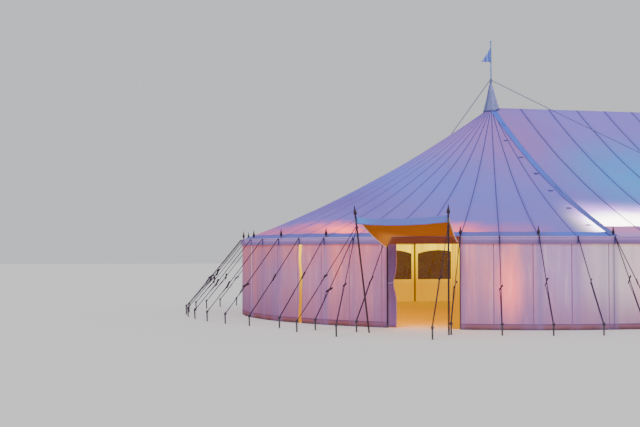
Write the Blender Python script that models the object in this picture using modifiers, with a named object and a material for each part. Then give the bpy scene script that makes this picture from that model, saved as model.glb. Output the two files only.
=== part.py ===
"""A traditional pole marquee with two round ends, built piece by piece in metres.

The ridge lies along X, the long doorway side faces -Y, and the origin is on the ground
halfway between the two king poles.  Places round the eave are given as seam numbers:
seam 0 is where the left round end meets the straight front, and the numbers run round
the left end, along the back, round the right end and back along the front.
"""

import bmesh
import bpy
from math import atan2, ceil, cos, floor, hypot, pi, radians, sin, tan
from mathutils import Matrix, Vector

# Plan of the tent
END_RADIUS = 7.42
END_BAYS = 13
PANEL = 0.914
MIDDLE_PANELS = 8

# Heights and drops of the canvas
RIDGE_HEIGHT = 6.10
EAVE_HEIGHT = 2.13
ROOF_SAG = 0.325
VALANCE_DROP = 0.157

# Canvas
CANVAS = 0.010
WALL_INSET = 0.030
COVER_WIDTH = 0.18
COVER_THICKNESS = 0.006
COVER_END_GAP = 0.003

# King poles, flag masts and their pennants
KING_RADIUS = 0.070
KING_SPIKE_RADIUS = 0.022
KING_SPIKE_RISE = 0.14
MAST_RADIUS = 0.016
MAST_TOP = 8.10
MAST_TRUCK_RADIUS = 0.032
PENNANT_HOIST = 0.44
PENNANT_FLY = 0.27
PENNANT_DROP = 0.22
PENNANT_TOP_GAP = 0.22
PENNANT_THICKNESS = 0.006

# Bonnet, the canvas cone over a king pole's head
BONNET_RADIUS = 0.25
BONNET_NECK_RADIUS = 0.045
BONNET_TOP = 6.88
BONNET_CLOTH = 0.008
BONNET_CLEAR = 0.126

# Side poles and their turned finials
POLE_RADIUS = 0.025
SPIKE_RADIUS = 0.009
FINIAL_HEIGHT = 0.22
FINIAL_RADIUS = 0.035
WALL_ROPE_RADIUS = 0.006
WALL_ROPE_DROP = 0.07

# Ropes and stakes
EAVE_ROPE_RADIUS = 0.009
GUY_RADIUS = 0.007
GUY_REACH = 1.57
STAKE_RADIUS = 0.020
STAKE_HEIGHT = 0.25
MAIN_GUY_RADIUS = 0.010
MAIN_GUY_REACH = 11.8
MAIN_GUY_LONG_LEAN = 6.3
MAIN_GUY_SHORT_LEAN = 1.8
MAIN_STAKE_RADIUS = 0.030
MAIN_STAKE_HEIGHT = 0.40
LOOP_HEIGHT = 0.03

# Doorway, the slit beside it and the arched windows of the back
DOOR_SEAM = 5
SLIT_SEAM = 9
SLIT_WIDTH = 0.12
CURTAIN_WIDTH = 0.30
CURTAIN_FOLD = 0.028
CURTAIN_WAVES = 4
END_WINDOWS = 3
WINDOW_SILL = 0.80
WINDOW_CROWN = 1.86
WINDOW_ARCH = 0.13
WINDOW_POST = 0.24
WINDOW_LAP = 0.06
CLEAR_SHEET = 0.004

# Awning over the doorway
AWNING_WIDTH = 2.12
AWNING_DEPTH = 1.65
AWNING_CORNER_HEIGHT = 2.53
AWNING_FRONT_SAG = 0.07
AWNING_SIDE_SAG = 0.08
AWNING_VALANCE = 0.15
AWNING_POLE_RADIUS = 0.021
AWNING_FINIAL_HEIGHT = 0.30
AWNING_FINIAL_RADIUS = 0.042
AWNING_GUY_REACH = 1.30
AWNING_GUY_SPREAD = 0.35
AWNING_LEFT_LEAN = radians(7)

# Clearance kept between pieces that touch, room in a hole, and how far a cutter passes the canvas
GAP = 0.0003
HOLE_ROOM = 1.25
CUT_REACH = 0.3
WINDOW_CUT_REACH = 0.4

# How finely the curved forms are cut
ROOF_STEPS = 8
POLE_SIDES = 6
ROPE_SIDES = 4
EYELET_SIDES = 6
BONNET_SIDES = 24
ARCH_STEPS = 8
CURTAIN_STEPS = 32
AWNING_ROWS = 6
AWNING_COLUMNS = 8

# Sizes worked out from the ones above
HALF = MIDDLE_PANELS * PANEL / 2
END_SEAMS = 2 * END_BAYS
SEAMS = 2 * (END_SEAMS + MIDDLE_PANELS)
KING_HOLE = KING_SPIKE_RADIUS * HOLE_ROOM
SPIKE_HOLE = SPIKE_RADIUS * HOLE_ROOM
POLE_OFFSET = -(WALL_INSET + CANVAS + POLE_RADIUS + 2 * GAP)
EAVE_ROPE_OFFSET = (EAVE_ROPE_RADIUS + GAP) * cos(radians(45))


def sagged_height(share):
    """Height of the sagging canvas at a share of the way from the ridge to the eave."""
    chord = RIDGE_HEIGHT - (RIDGE_HEIGHT - EAVE_HEIGHT) * share
    return chord - 4 * ROOF_SAG * share * (1 - share)


def roof_height(distance):
    """Height of the roof's top at a distance from the ridge, straight between its steps."""
    steps = min(max(distance / END_RADIUS, 0.0), 1.0) * ROOF_STEPS
    whole = min(int(steps), ROOF_STEPS - 1)
    low = sagged_height(whole / ROOF_STEPS)
    high = sagged_height((whole + 1) / ROOF_STEPS)
    return low + (high - low) * (steps - whole)


WALL_TOP = roof_height(END_RADIUS - WALL_INSET) - CANVAS - GAP
POLE_TOP = roof_height(END_RADIUS + POLE_OFFSET + POLE_RADIUS) - CANVAS - GAP
FINIAL_FOOT = roof_height(END_RADIUS + POLE_OFFSET - FINIAL_RADIUS) + COVER_THICKNESS + 2 * GAP


def corner(seam, out, height):
    """Point at a whole seam number, moved out from the eave."""
    seam = seam % SEAMS
    reach = END_RADIUS + out
    if seam <= END_SEAMS:
        turn = pi * seam / END_SEAMS
        return Vector((-HALF - reach * sin(turn), -reach * cos(turn), height))
    seam -= END_SEAMS
    if seam <= MIDDLE_PANELS:
        return Vector((-HALF + seam * PANEL, reach, height))
    seam -= MIDDLE_PANELS
    if seam <= END_SEAMS:
        turn = pi * seam / END_SEAMS
        return Vector((HALF + reach * sin(turn), reach * cos(turn), height))
    seam -= END_SEAMS
    return Vector((HALF - seam * PANEL, -reach, height))


def rim(seam, out=0.0, height=0.0):
    """Point on the eave's polygon at any seam number, also between two seams."""
    whole = floor(seam)
    return corner(whole, out, height).lerp(corner(whole + 1, out, height), seam - whole)


def outward(seam):
    """Level direction that points away from the tent at a seam."""
    return (corner(seam, 1.0, 0.0) - corner(seam, 0.0, 0.0)).normalized()


def heading(way):
    """Angle of a level direction about Z."""
    return atan2(way.y, way.x)


def stretch(start, end):
    """Seam numbers from start to end, with each whole seam between them."""
    inner = [seam for seam in range(ceil(start), floor(end) + 1) if start + 0.01 < seam < end - 0.01]
    return [start, *inner, end]


def material(name, colour, roughness, metallic=0.0, alpha=1.0):
    """A plain Principled material."""
    made = bpy.data.materials.new(name)
    made.use_nodes = True
    shader = made.node_tree.nodes["Principled BSDF"]
    shader.inputs["Base Color"].default_value = (*colour, 1.0)
    shader.inputs["Roughness"].default_value = roughness
    shader.inputs["Metallic"].default_value = metallic
    shader.inputs["Alpha"].default_value = alpha
    return made


def place(mesh, name, finish, group):
    """Put a mesh in a collection as an object of its own."""
    made = bpy.data.objects.new(name, mesh)
    if finish:
        mesh.materials.append(finish)
    group.objects.link(made)
    if group is not PARTS:
        made.hide_render = True
        made.display_type = "WIRE"
    return made


def solid_from(mesh_maker, name, finish, group):
    """Run a bmesh maker and place what it makes, with its faces pointing out."""
    form = bmesh.new()
    mesh_maker(form)
    bmesh.ops.recalc_face_normals(form, faces=form.faces)
    mesh = bpy.data.meshes.new(name)
    form.to_mesh(mesh)
    form.free()
    return place(mesh, name, finish, group)


def prism(name, outline, shift, finish, group=None):
    """A flat outline pushed along a straight line."""

    def make(form):
        face = form.faces.new([form.verts.new(point) for point in outline])
        pushed = bmesh.ops.extrude_face_region(form, geom=[face])
        tops = [item for item in pushed["geom"] if isinstance(item, bmesh.types.BMVert)]
        bmesh.ops.translate(form, verts=tops, vec=shift)

    return solid_from(make, name, finish, group or PARTS)


def belt(name, section, seams, finish, group=None):
    """A closed section of (out, height) points carried round the eave's polygon."""

    def make(form):
        rings = [[form.verts.new(rim(seam, out, height)) for out, height in section] for seam in seams]
        for ring, after in zip(rings, rings[1:]):
            for i in range(len(section)):
                form.faces.new((ring[i - 1], ring[i], after[i], after[i - 1]))
        form.faces.new(rings[0])
        form.faces.new(rings[-1])

    return solid_from(make, name, finish, group or PARTS)


def turned(name, profile, sides, finish, group=None):
    """A profile of (radius, height) points from the top down, turned about Z."""
    mesh = bpy.data.meshes.new(name)
    points = [(radius, 0.0, height) for radius, height in profile]
    mesh.from_pydata(points, [(i, i + 1) for i in range(len(points) - 1)], [])
    made = place(mesh, name, finish, group or PARTS)
    screw = made.modifiers.new("turn", "SCREW")
    screw.steps = sides
    screw.render_steps = sides
    screw.use_merge_vertices = True
    screw.merge_threshold = 0.0001
    return made


def tube(name, points, radii, finish, group=None, sides=ROPE_SIDES):
    """A tube through points, thinner or thicker at each, as a closed mesh."""
    curve = bpy.data.curves.new(name, "CURVE")
    curve.dimensions = "3D"
    curve.bevel_depth = 1.0
    curve.bevel_resolution = max(0, sides // 2 - 2)
    curve.use_fill_caps = True
    line = curve.splines.new("POLY")
    line.points.add(len(points) - 1)
    for knot, point, radius in zip(line.points, points, radii):
        knot.co = (*point, 1.0)
        knot.radius = radius
    guide = bpy.data.objects.new(name + "_line", curve)
    bpy.context.scene.collection.objects.link(guide)
    bpy.context.view_layer.update()
    shaped = guide.evaluated_get(bpy.context.evaluated_depsgraph_get())
    mesh = bpy.data.meshes.new_from_object(shaped)
    form = bmesh.new()
    form.from_mesh(mesh)
    bmesh.ops.remove_doubles(form, verts=form.verts, dist=0.00005)
    bmesh.ops.recalc_face_normals(form, faces=form.faces)
    form.to_mesh(mesh)
    form.free()
    mesh.name = name
    mesh.materials.clear()
    matrix = guide.matrix_world.copy()
    bpy.data.objects.remove(guide)
    made = place(mesh, name, finish, group or PARTS)
    made.matrix_world = matrix
    return made


def combine(target, tools, operation):
    """Ask for a target to be joined to, or cut by, every solid of a collection."""
    BOOLEANS.append((target, tools, operation))
    return target


def add_booleans():
    """Put the Boolean modifiers on, once every solid is there."""
    for target, tools, operation in BOOLEANS:
        change = target.modifiers.new(operation.lower(), "BOOLEAN")
        change.operation = operation
        change.operand_type = "COLLECTION"
        change.collection = tools
        change.solver = "EXACT"


def tool_group(name):
    """A collection for solids that only join or cut others."""
    group = bpy.data.collections.new(name)
    TOOLS.children.link(group)
    return group


def round_cutter(name, radius, low, high, sides, group):
    """Upright round cutter between two heights."""
    return turned(name, [(0, high), (radius, high), (radius, low), (0, low)], sides, None, group)


def eyelet_cutters():
    """Cutters for the eyelets that the side poles' spikes pass through, flat to the seams."""
    group = tool_group("eyelet_cutters")
    for seam in range(0, SEAMS, 2):
        cutter = round_cutter(f"eyelet_{seam}", SPIKE_HOLE, EAVE_HEIGHT - CUT_REACH / 3,
                              EAVE_HEIGHT + CUT_REACH, EYELET_SIDES, group)
        cutter.location = rim(seam, POLE_OFFSET)
        cutter.rotation_euler.z = heading(outward(seam)) + pi / EYELET_SIDES
    return group


def ridge_cutters():
    """Cutters for the holes that the king poles' spikes pass through."""
    group = tool_group("ridge_cutters")
    for side in (-1, 1):
        cutter = round_cutter(f"ridge_eyelet_{side}", KING_HOLE, RIDGE_HEIGHT - CUT_REACH,
                              RIDGE_HEIGHT + CUT_REACH, EYELET_SIDES, group)
        cutter.location = (side * HALF, 0, 0)
        cutter.rotation_euler.z = pi / EYELET_SIDES
    return group


def roof_top_line(start):
    """Points of the roof's top from a distance near the ridge out to the eave."""
    steps = [start] + [END_RADIUS * i / ROOF_STEPS for i in range(1, ROOF_STEPS + 1)]
    return [(distance, roof_height(distance)) for distance in steps]


def roof_section(start):
    """Closed section of one roof slope with its valance, as (distance, height)."""
    top = roof_top_line(start)
    inside = END_RADIUS - CANVAS
    hem = EAVE_HEIGHT - VALANCE_DROP
    under = [(distance, height - CANVAS) for distance, height in reversed(top[:-1])]
    edge = [(END_RADIUS, hem), (inside, hem), (inside, roof_height(inside) - CANVAS)]
    return top + edge + under


def round_roof(name, side, eyelets):
    """Half cone of canvas gores round a king pole."""

    def make(form):
        middle = Vector((side * HALF, 0, 0))
        outline = [middle + Vector((0, -distance, height)) for distance, height in roof_section(KING_HOLE)]
        face = form.faces.new([form.verts.new(point) for point in outline])
        geometry = [*form.verts, *form.edges, face]
        bmesh.ops.spin(form, geom=geometry, cent=middle, axis=(0, 0, 1), angle=side * pi,
                       steps=END_SEAMS, use_duplicate=False)

    return combine(solid_from(make, name, CANVAS_FINISH, PARTS), eyelets, "DIFFERENCE")


def middle_roof(eyelets, ridge_holes):
    """Straight roof between the king poles, from one eave over the ridge to the other."""
    slope = roof_section(0.0)
    count = ROOF_STEPS + 1
    top = slope[:count]
    under = slope[count:]
    start = -HALF + GAP
    front = [Vector((start, -distance, height)) for distance, height in reversed(top)]
    back = [Vector((start, distance, height)) for distance, height in top[1:]]
    back_under = [Vector((start, distance, height)) for distance, height in under]
    front_under = [Vector((start, -distance, height)) for distance, height in reversed(under[:-1])]
    outline = front + back + back_under + front_under
    roof = prism("roof_middle", outline, Vector((2 * (HALF - GAP), 0, 0)), CANVAS_FINISH)
    combine(roof, eyelets, "DIFFERENCE")
    return combine(roof, ridge_holes, "DIFFERENCE")


def lacing_cover(name, side, eyelets, ridge_holes):
    """Flap of canvas over the laced joint between a round end and the middle."""
    reach = END_RADIUS - EAVE_ROPE_RADIUS - COVER_END_GAP
    steps = [reach * i / ROOF_STEPS for i in range(ROOF_STEPS + 1)]
    span = [-distance for distance in reversed(steps)] + steps[1:]
    left = side * HALF - COVER_WIDTH / 2
    flat = [(y, roof_height(abs(y)) + GAP) for y in span]
    outline = [Vector((left, y, height)) for y, height in flat]
    outline += [Vector((left, y, height + COVER_THICKNESS)) for y, height in reversed(flat)]
    cover = prism(name, outline, Vector((COVER_WIDTH, 0, 0)), STRIP_FINISH)
    combine(cover, eyelets, "DIFFERENCE")
    return combine(cover, ridge_holes, "DIFFERENCE")


def king_pole(name, side):
    """Main pole with its flat foot and the iron spike that passes through the roof."""
    shoulder = roof_height(KING_RADIUS) - CANVAS - GAP
    spike_top = RIDGE_HEIGHT + KING_SPIKE_RISE
    profile = [(0, spike_top), (KING_SPIKE_RADIUS, spike_top), (KING_SPIKE_RADIUS, shoulder),
               (KING_RADIUS, shoulder), (KING_RADIUS, 0), (0, 0)]
    pole = turned(name, profile, 2 * POLE_SIDES, WOOD_FINISH)
    pole.location = (side * HALF, 0, 0)
    return pole


def flag_mast(name, side):
    """Slim mast that stands on the king pole's spike, with a small truck on top."""
    foot = RIDGE_HEIGHT + KING_SPIKE_RISE + GAP
    truck = MAST_TOP - 2 * MAST_TRUCK_RADIUS
    profile = [(0, MAST_TOP), (MAST_TRUCK_RADIUS * 0.7, MAST_TOP - 0.01),
               (MAST_TRUCK_RADIUS, MAST_TOP - MAST_TRUCK_RADIUS), (MAST_TRUCK_RADIUS * 0.7, truck + 0.01),
               (MAST_RADIUS, truck), (MAST_RADIUS, foot), (0, foot)]
    mast = turned(name, profile, POLE_SIDES, PALE_WOOD_FINISH)
    mast.location = (side * HALF, 0, 0)
    return mast


def pennant(name, side):
    """Triangular pennant that droops from its hoist."""
    start = side * HALF - MAST_RADIUS - GAP
    top = MAST_TOP - PENNANT_TOP_GAP
    thick = PENNANT_THICKNESS / 2
    outline = [Vector((start, -thick, top)), Vector((start, -thick, top - PENNANT_HOIST)),
               Vector((start - PENNANT_FLY * 0.6, -thick, top - PENNANT_HOIST + 0.01)),
               Vector((start - PENNANT_FLY, -thick, top - PENNANT_HOIST + 0.02)),
               Vector((start - PENNANT_FLY * 0.6, -thick, top - PENNANT_DROP))]
    return prism(name, outline, Vector((0, PENNANT_THICKNESS, 0)), CANVAS_FINISH)


def bonnet(name, side):
    """Open cone of canvas whose foot follows the roof and whose neck closes on the mast."""
    lift = COVER_THICKNESS + 2 * GAP
    neck = MAST_RADIUS + GAP

    def foot(reach, turn):
        x = reach * cos(turn)
        y = reach * sin(turn)
        past_cover = max(0.0, x * side - BONNET_CLEAR)
        return Vector((side * HALF + x, y, roof_height(hypot(past_cover, y)) + lift))

    def make(form):
        rings = []
        for i in range(BONNET_SIDES):
            turn = 2 * pi * i / BONNET_SIDES
            way = Vector((cos(turn), sin(turn), 0))
            head = Vector((side * HALF, 0, BONNET_TOP))
            spots = [foot(BONNET_RADIUS, turn), head + way * BONNET_NECK_RADIUS, head + way * neck,
                     head + way * neck - Vector((0, 0, BONNET_CLOTH)), foot(BONNET_RADIUS - BONNET_CLOTH, turn)]
            rings.append([form.verts.new(spot) for spot in spots])
        for ring, after in zip(rings, rings[1:] + rings[:1]):
            for i in range(len(ring)):
                j = (i + 1) % len(ring)
                form.faces.new((ring[i], after[i], after[j], ring[j]))

    return solid_from(make, name, CANVAS_FINISH, PARTS)


def side_poles(name, seams):
    """A run of side poles with turned finials, joined by the rope that carries the wall."""
    group = tool_group(name + "_tools")
    profile = [(0, FINIAL_FOOT + FINIAL_HEIGHT), (FINIAL_RADIUS * 0.3, FINIAL_FOOT + FINIAL_HEIGHT * 0.7),
               (FINIAL_RADIUS, FINIAL_FOOT + FINIAL_HEIGHT * 0.28), (FINIAL_RADIUS * 0.6, FINIAL_FOOT),
               (SPIKE_RADIUS, FINIAL_FOOT), (SPIKE_RADIUS, POLE_TOP), (POLE_RADIUS, POLE_TOP),
               (POLE_RADIUS, 0), (0, 0)]
    for seam in seams:
        pole = turned(f"{name}_{seam}", profile, POLE_SIDES, None, group)
        pole.location = rim(seam, POLE_OFFSET)
        pole.rotation_euler.z = heading(outward(seam))
    line = [rim(seam, POLE_OFFSET, POLE_TOP - WALL_ROPE_DROP) for seam in seams]
    rope = tube(name, line, [WALL_ROPE_RADIUS] * len(line), WOOD_FINISH)
    return combine(rope, group, "UNION")


def loop(name, middle, height, radius, thickness, group):
    """A short sleeve of rope round a pole or mast, with the pole's own sides."""
    inner = radius + 2 * GAP
    outer = inner + thickness
    profile = [(outer, height + LOOP_HEIGHT), (outer, height), (inner, height),
               (inner, height + LOOP_HEIGHT), (outer, height + LOOP_HEIGHT)]
    made = turned(name, profile, POLE_SIDES, None, group)
    made.location = middle
    return made


def guy_line(name, start, foot, radius, stake_radius, stake_height, group, finish=None):
    """A guy rope down to its stake, and the stake down to the ground."""
    head = foot + Vector((0, 0, stake_height))
    away = (head - start).normalized()
    tie = head - away * stake_radius * 2
    points = [start, tie, head, foot]
    return tube(name, points, [radius, radius, stake_radius, stake_radius], finish, group)


def side_guys(name, first, last, left_out=()):
    """Guys of a run of seams, joined by the rope sewn along the eave."""
    group = tool_group(name + "_tools")
    height = EAVE_HEIGHT + EAVE_ROPE_OFFSET
    spacing = (corner(first, 0, 0) - corner(first + 1, 0, 0)).length
    trim = GAP / spacing
    seams = stretch(first - 0.5 + trim, last + 0.5 - trim)
    sides = [radians(45 + 90 * i) for i in range(4)]
    section = [(EAVE_ROPE_OFFSET + EAVE_ROPE_RADIUS * cos(turn), height + EAVE_ROPE_RADIUS * sin(turn))
               for turn in sides]
    rope = belt(name, section, seams, ROPE_FINISH)
    for seam in range(first, last + 1):
        if seam in left_out:
            continue
        start = rim(seam, EAVE_ROPE_OFFSET, height)
        foot = rim(seam, GUY_REACH)
        guy_line(f"{name}_{seam}", start, foot, GUY_RADIUS, STAKE_RADIUS, STAKE_HEIGHT, group)
    return combine(rope, group, "UNION")


def main_guy(name, side, end, lean, height):
    """Long guy from a loop on a king pole's head down to a stake clear of the eave."""
    mast = Vector((side * HALF, 0, 0))
    foot = mast + Vector((lean, end * MAIN_GUY_REACH, 0))
    level = Vector((foot.x - mast.x, foot.y - mast.y, 0)).normalized()
    start = mast + level * (MAST_RADIUS + 2 * MAIN_GUY_RADIUS) + Vector((0, 0, height + LOOP_HEIGHT / 2))
    group = tool_group(name + "_tools")
    loop(name + "_loop", mast, height, MAST_RADIUS, 2 * MAIN_GUY_RADIUS, group)
    rope = guy_line(name, start, foot, MAIN_GUY_RADIUS, MAIN_STAKE_RADIUS, MAIN_STAKE_HEIGHT, None, ROPE_FINISH)
    return combine(rope, group, "UNION")


def wall(name, start, end, start_gap=GAP, end_gap=GAP):
    """A run of wall canvas from the ground to the underside of the eave."""
    spacing = (corner(floor(start) + 1, 0, 0) - corner(floor(start), 0, 0)).length
    seams = stretch(start + start_gap / spacing / 2, end - end_gap / spacing / 2)
    outer = -WALL_INSET
    inner = outer - CANVAS
    section = [(outer, 0), (outer, WALL_TOP), (inner, WALL_TOP), (inner, 0)]
    return belt(name, section, seams, CANVAS_FINISH)


def window_cutters(name, start, end):
    """Arched prisms, one to a pole bay, that cut the windows of a wall."""
    group = tool_group(name + "_windows")
    for seam in range(start + 1, end, 2):
        way = outward(seam)
        along = (rim(seam + 1) - rim(seam - 1)).normalized()
        half = (rim(seam + 1) - rim(seam - 1)).length / 2 - WINDOW_POST / 2
        middle = rim(seam, -WINDOW_CUT_REACH)
        spring = WINDOW_CROWN - WINDOW_ARCH
        turns = [pi * i / ARCH_STEPS for i in range(ARCH_STEPS + 1)]
        arch = [(half * cos(turn), spring + WINDOW_ARCH * sin(turn)) for turn in turns]
        flat = [(-half, WINDOW_SILL), (half, WINDOW_SILL), *arch]
        outline = [middle + along * across + Vector((0, 0, height)) for across, height in flat]
        prism(f"{name}_window_{seam}", outline, way * 2 * WINDOW_CUT_REACH, None, group)
    return group


def window_sheet(name, start, end):
    """One clear sheet on the outer face of a wall, over all its windows."""
    inner = GAP - WALL_INSET
    outer = inner + CLEAR_SHEET
    low = WINDOW_SILL - WINDOW_LAP
    high = WINDOW_CROWN + WINDOW_LAP
    section = [(outer, low), (outer, high), (inner, high), (inner, low)]
    return belt(name, section, stretch(start + WINDOW_LAP, end - WINDOW_LAP), CLEAR_FINISH)


def door_curtain():
    """Wall canvas of the doorway, gathered at its left jamb."""
    jamb = DOOR_SEAM + 1
    bay = (corner(jamb, 0, 0) - corner(jamb - 1, 0, 0)).length
    first = jamb - (CURTAIN_WIDTH + WALL_INSET) / bay
    last = jamb - WALL_INSET / bay
    middle = -WALL_INSET - CURTAIN_FOLD
    waves = []
    for i in range(CURTAIN_STEPS + 1):
        share = i / CURTAIN_STEPS
        seam = first + (last - first) * share
        waves.append((seam, middle + CURTAIN_FOLD * sin(share * 2 * pi * CURTAIN_WAVES)))
    outer = [rim(seam, out + CANVAS / 2) for seam, out in waves]
    inner = [rim(seam, out - CANVAS / 2) for seam, out in reversed(waves)]
    low = roof_height(END_RADIUS + middle + CURTAIN_FOLD + CANVAS / 2) - CANVAS - GAP
    return prism("door_curtain", outer + inner, Vector((0, 0, low)), CANVAS_FINISH)


def awning_frame():
    """Middle of the doorway at the eave, with the awning's outward and sideways directions."""
    way = outward(DOOR_SEAM)
    left = (rim(DOOR_SEAM + 1) - rim(DOOR_SEAM - 1)).normalized()
    start = (rim(DOOR_SEAM + 1) + rim(DOOR_SEAM - 1)) / 2
    return start, way, left


def awning_canopy():
    """Sagging sheet from the eave rope up to the two awning poles, with a front valance."""
    start, way, left = awning_frame()
    inner = (rim(DOOR_SEAM) - start).length + EAVE_ROPE_OFFSET
    rope_top = EAVE_HEIGHT + EAVE_ROPE_OFFSET + EAVE_ROPE_RADIUS * cos(radians(45))
    slant = hypot(1, (AWNING_CORNER_HEIGHT - EAVE_HEIGHT) / AWNING_DEPTH)
    seat = rope_top + CANVAS * slant + GAP

    def spot(i, j):
        along = i / AWNING_ROWS
        across = 2 * j / AWNING_COLUMNS - 1
        reach = inner + (AWNING_DEPTH - inner) * along
        height = seat + (AWNING_CORNER_HEIGHT - seat) * along
        height -= AWNING_FRONT_SAG * along * (1 - across * across)
        height -= AWNING_SIDE_SAG * along * (1 - along) * 4
        level = start + way * reach + left * across * AWNING_WIDTH / 2
        return Vector((level.x, level.y, height))

    form = bmesh.new()
    grid = [[form.verts.new(spot(i, j)) for j in range(AWNING_COLUMNS + 1)] for i in range(AWNING_ROWS + 1)]
    grid.append([form.verts.new(vert.co - Vector((0, 0, AWNING_VALANCE))) for vert in grid[-1]])
    for row, after in zip(grid, grid[1:]):
        for j in range(AWNING_COLUMNS):
            form.faces.new((row[j], row[j + 1], after[j + 1], after[j]))
    bmesh.ops.recalc_face_normals(form, faces=form.faces)
    form.faces.ensure_lookup_table()
    if form.faces[0].normal.z < 0:
        bmesh.ops.reverse_faces(form, faces=form.faces)
    mesh = bpy.data.meshes.new("awning_canopy")
    form.to_mesh(mesh)
    form.free()
    canopy = place(mesh, "awning_canopy", STRIP_FINISH, PARTS)
    thicken = canopy.modifiers.new("cloth", "SOLIDIFY")
    thicken.thickness = CANVAS
    thicken.offset = -1.0
    return canopy


def awning_spot(side, lean):
    """Foot of an awning pole whose head stands against the canopy's front corner."""
    start, way, left = awning_frame()
    flat = AWNING_POLE_RADIUS * cos(pi / POLE_SIDES)
    inward = tan(lean) * AWNING_CORNER_HEIGHT
    return start + way * (AWNING_DEPTH + flat + GAP) + left * side * (AWNING_WIDTH / 2 - inward)


def awning_pole(name, side, lean):
    """Front pole of the awning with its spear finial, leaning outward a little."""
    way = awning_frame()[1]
    top = AWNING_CORNER_HEIGHT / cos(lean)
    profile = [(0, top + AWNING_FINIAL_HEIGHT), (AWNING_FINIAL_RADIUS * 0.3, top + AWNING_FINIAL_HEIGHT * 0.7),
               (AWNING_FINIAL_RADIUS, top + AWNING_FINIAL_HEIGHT * 0.3),
               (AWNING_FINIAL_RADIUS * 0.5, top + AWNING_FINIAL_RADIUS),
               (AWNING_POLE_RADIUS, top + AWNING_FINIAL_RADIUS), (AWNING_POLE_RADIUS, 0), (0, 0)]
    pole = turned(name, profile, POLE_SIDES, WOOD_FINISH)
    turn = Matrix.Rotation(heading(way) + pi / POLE_SIDES, 4, "Z")
    tilt = Matrix.Rotation(side * lean, 4, way)
    rest = Vector((0, 0, AWNING_POLE_RADIUS * sin(lean)))
    pole.matrix_world = Matrix.Translation(awning_spot(side, lean) + rest) @ tilt @ turn
    return pole


def awning_guy(name, side, lean, aside):
    """Guys of an awning pole, joined at the loop round its head: one to the front, and one aside if asked."""
    way, left = awning_frame()[1:]
    height = AWNING_CORNER_HEIGHT - AWNING_VALANCE - 2 * LOOP_HEIGHT
    foot = awning_spot(side, lean)
    hold = foot + left * side * tan(lean) * height
    group = tool_group(name + "_tools")
    sleeve = loop(name + "_loop", hold, height, AWNING_POLE_RADIUS, 2 * GUY_RADIUS, group)
    turn = Matrix.Rotation(heading(way) + pi / POLE_SIDES, 4, "Z")
    tilt = Matrix.Rotation(side * lean, 4, way)
    raised = Vector((0, 0, AWNING_POLE_RADIUS * sin(lean)))
    sleeve.matrix_world = Matrix.Translation(foot + raised) @ tilt @ turn
    ends = [hold + way * AWNING_GUY_REACH]
    if aside:
        ends.append(hold + way * AWNING_GUY_SPREAD + left * side * AWNING_GUY_REACH)
    ropes = []
    for number, end in enumerate(ends):
        level = (end - hold).normalized()
        knot = hold + level * (AWNING_POLE_RADIUS + 2 * GUY_RADIUS) + Vector((0, 0, height + LOOP_HEIGHT / 2))
        ropes.append((knot, end))
    base = guy_line(name, *ropes[0], GUY_RADIUS, STAKE_RADIUS, STAKE_HEIGHT, None, ROPE_FINISH)
    for knot, end in ropes[1:]:
        guy_line(name + "_side", knot, end, GUY_RADIUS, STAKE_RADIUS, STAKE_HEIGHT, group)
    return combine(base, group, "UNION")


for old in list(bpy.data.objects):
    bpy.data.objects.remove(old)

BOOLEANS = []
PARTS = bpy.data.collections.new("Marquee")
TOOLS = bpy.data.collections.new("Cutters")
bpy.context.scene.collection.children.link(PARTS)
bpy.context.scene.collection.children.link(TOOLS)

CANVAS_FINISH = material("white_canvas", (0.82, 0.80, 0.86), 0.75)
STRIP_FINISH = material("blue_grey_canvas", (0.42, 0.50, 0.68), 0.75)
WOOD_FINISH = material("dark_wood", (0.10, 0.06, 0.05), 0.55)
PALE_WOOD_FINISH = material("pale_wood", (0.62, 0.56, 0.52), 0.50)
ROPE_FINISH = material("rope", (0.60, 0.57, 0.52), 0.85)
CLEAR_FINISH = material("clear_sheet", (0.90, 0.93, 0.95), 0.10, alpha=0.25)

EYELETS = eyelet_cutters()
RIDGE_HOLES = ridge_cutters()
round_roof("roof_left_end", -1, EYELETS)
middle_roof(EYELETS, RIDGE_HOLES)
round_roof("roof_right_end", 1, EYELETS)

for side_name, sign in (("left", -1), ("right", 1)):
    lacing_cover(f"lacing_cover_{side_name}", sign, EYELETS, RIDGE_HOLES)
    king_pole(f"king_pole_{side_name}", sign)
    flag_mast(f"flag_mast_{side_name}", sign)
    pennant(f"pennant_{side_name}", sign)
    bonnet(f"bonnet_{side_name}", sign)
    lean = AWNING_LEFT_LEAN if side_name == "left" else 0.0
    awning_pole(f"awning_pole_{side_name}", -sign, lean)
    awning_guy(f"awning_guys_{side_name}", -sign, lean, side_name == "left")

LOWER_LOOP = BONNET_TOP + MAIN_GUY_RADIUS
UPPER_LOOP = LOWER_LOOP + LOOP_HEIGHT + GAP
main_guy("main_guy_left_front", -1, -1, MAIN_GUY_LONG_LEAN, LOWER_LOOP)
main_guy("main_guy_left_back", -1, 1, -MAIN_GUY_SHORT_LEAN, UPPER_LOOP)
main_guy("main_guy_right_front", 1, -1, MAIN_GUY_SHORT_LEAN, UPPER_LOOP)
main_guy("main_guy_right_back", 1, 1, -MAIN_GUY_LONG_LEAN, LOWER_LOOP)

LEFT_END = END_SEAMS
RIGHT_START = END_SEAMS + MIDDLE_PANELS
RIGHT_END = RIGHT_START + END_SEAMS
LEFT_WINDOWS = LEFT_END - 2 * END_WINDOWS
RIGHT_WINDOWS = RIGHT_START + 2 * END_WINDOWS
LEFT_SPLIT = 2 * ((DOOR_SEAM + 1 + LEFT_END) // 4)
RIGHT_SPLIT = 2 * ((RIGHT_START + RIGHT_END) // 4)
RIGHT_WALL_JOIN = 2 * ((RIGHT_WINDOWS + RIGHT_END) // 4)

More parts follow.
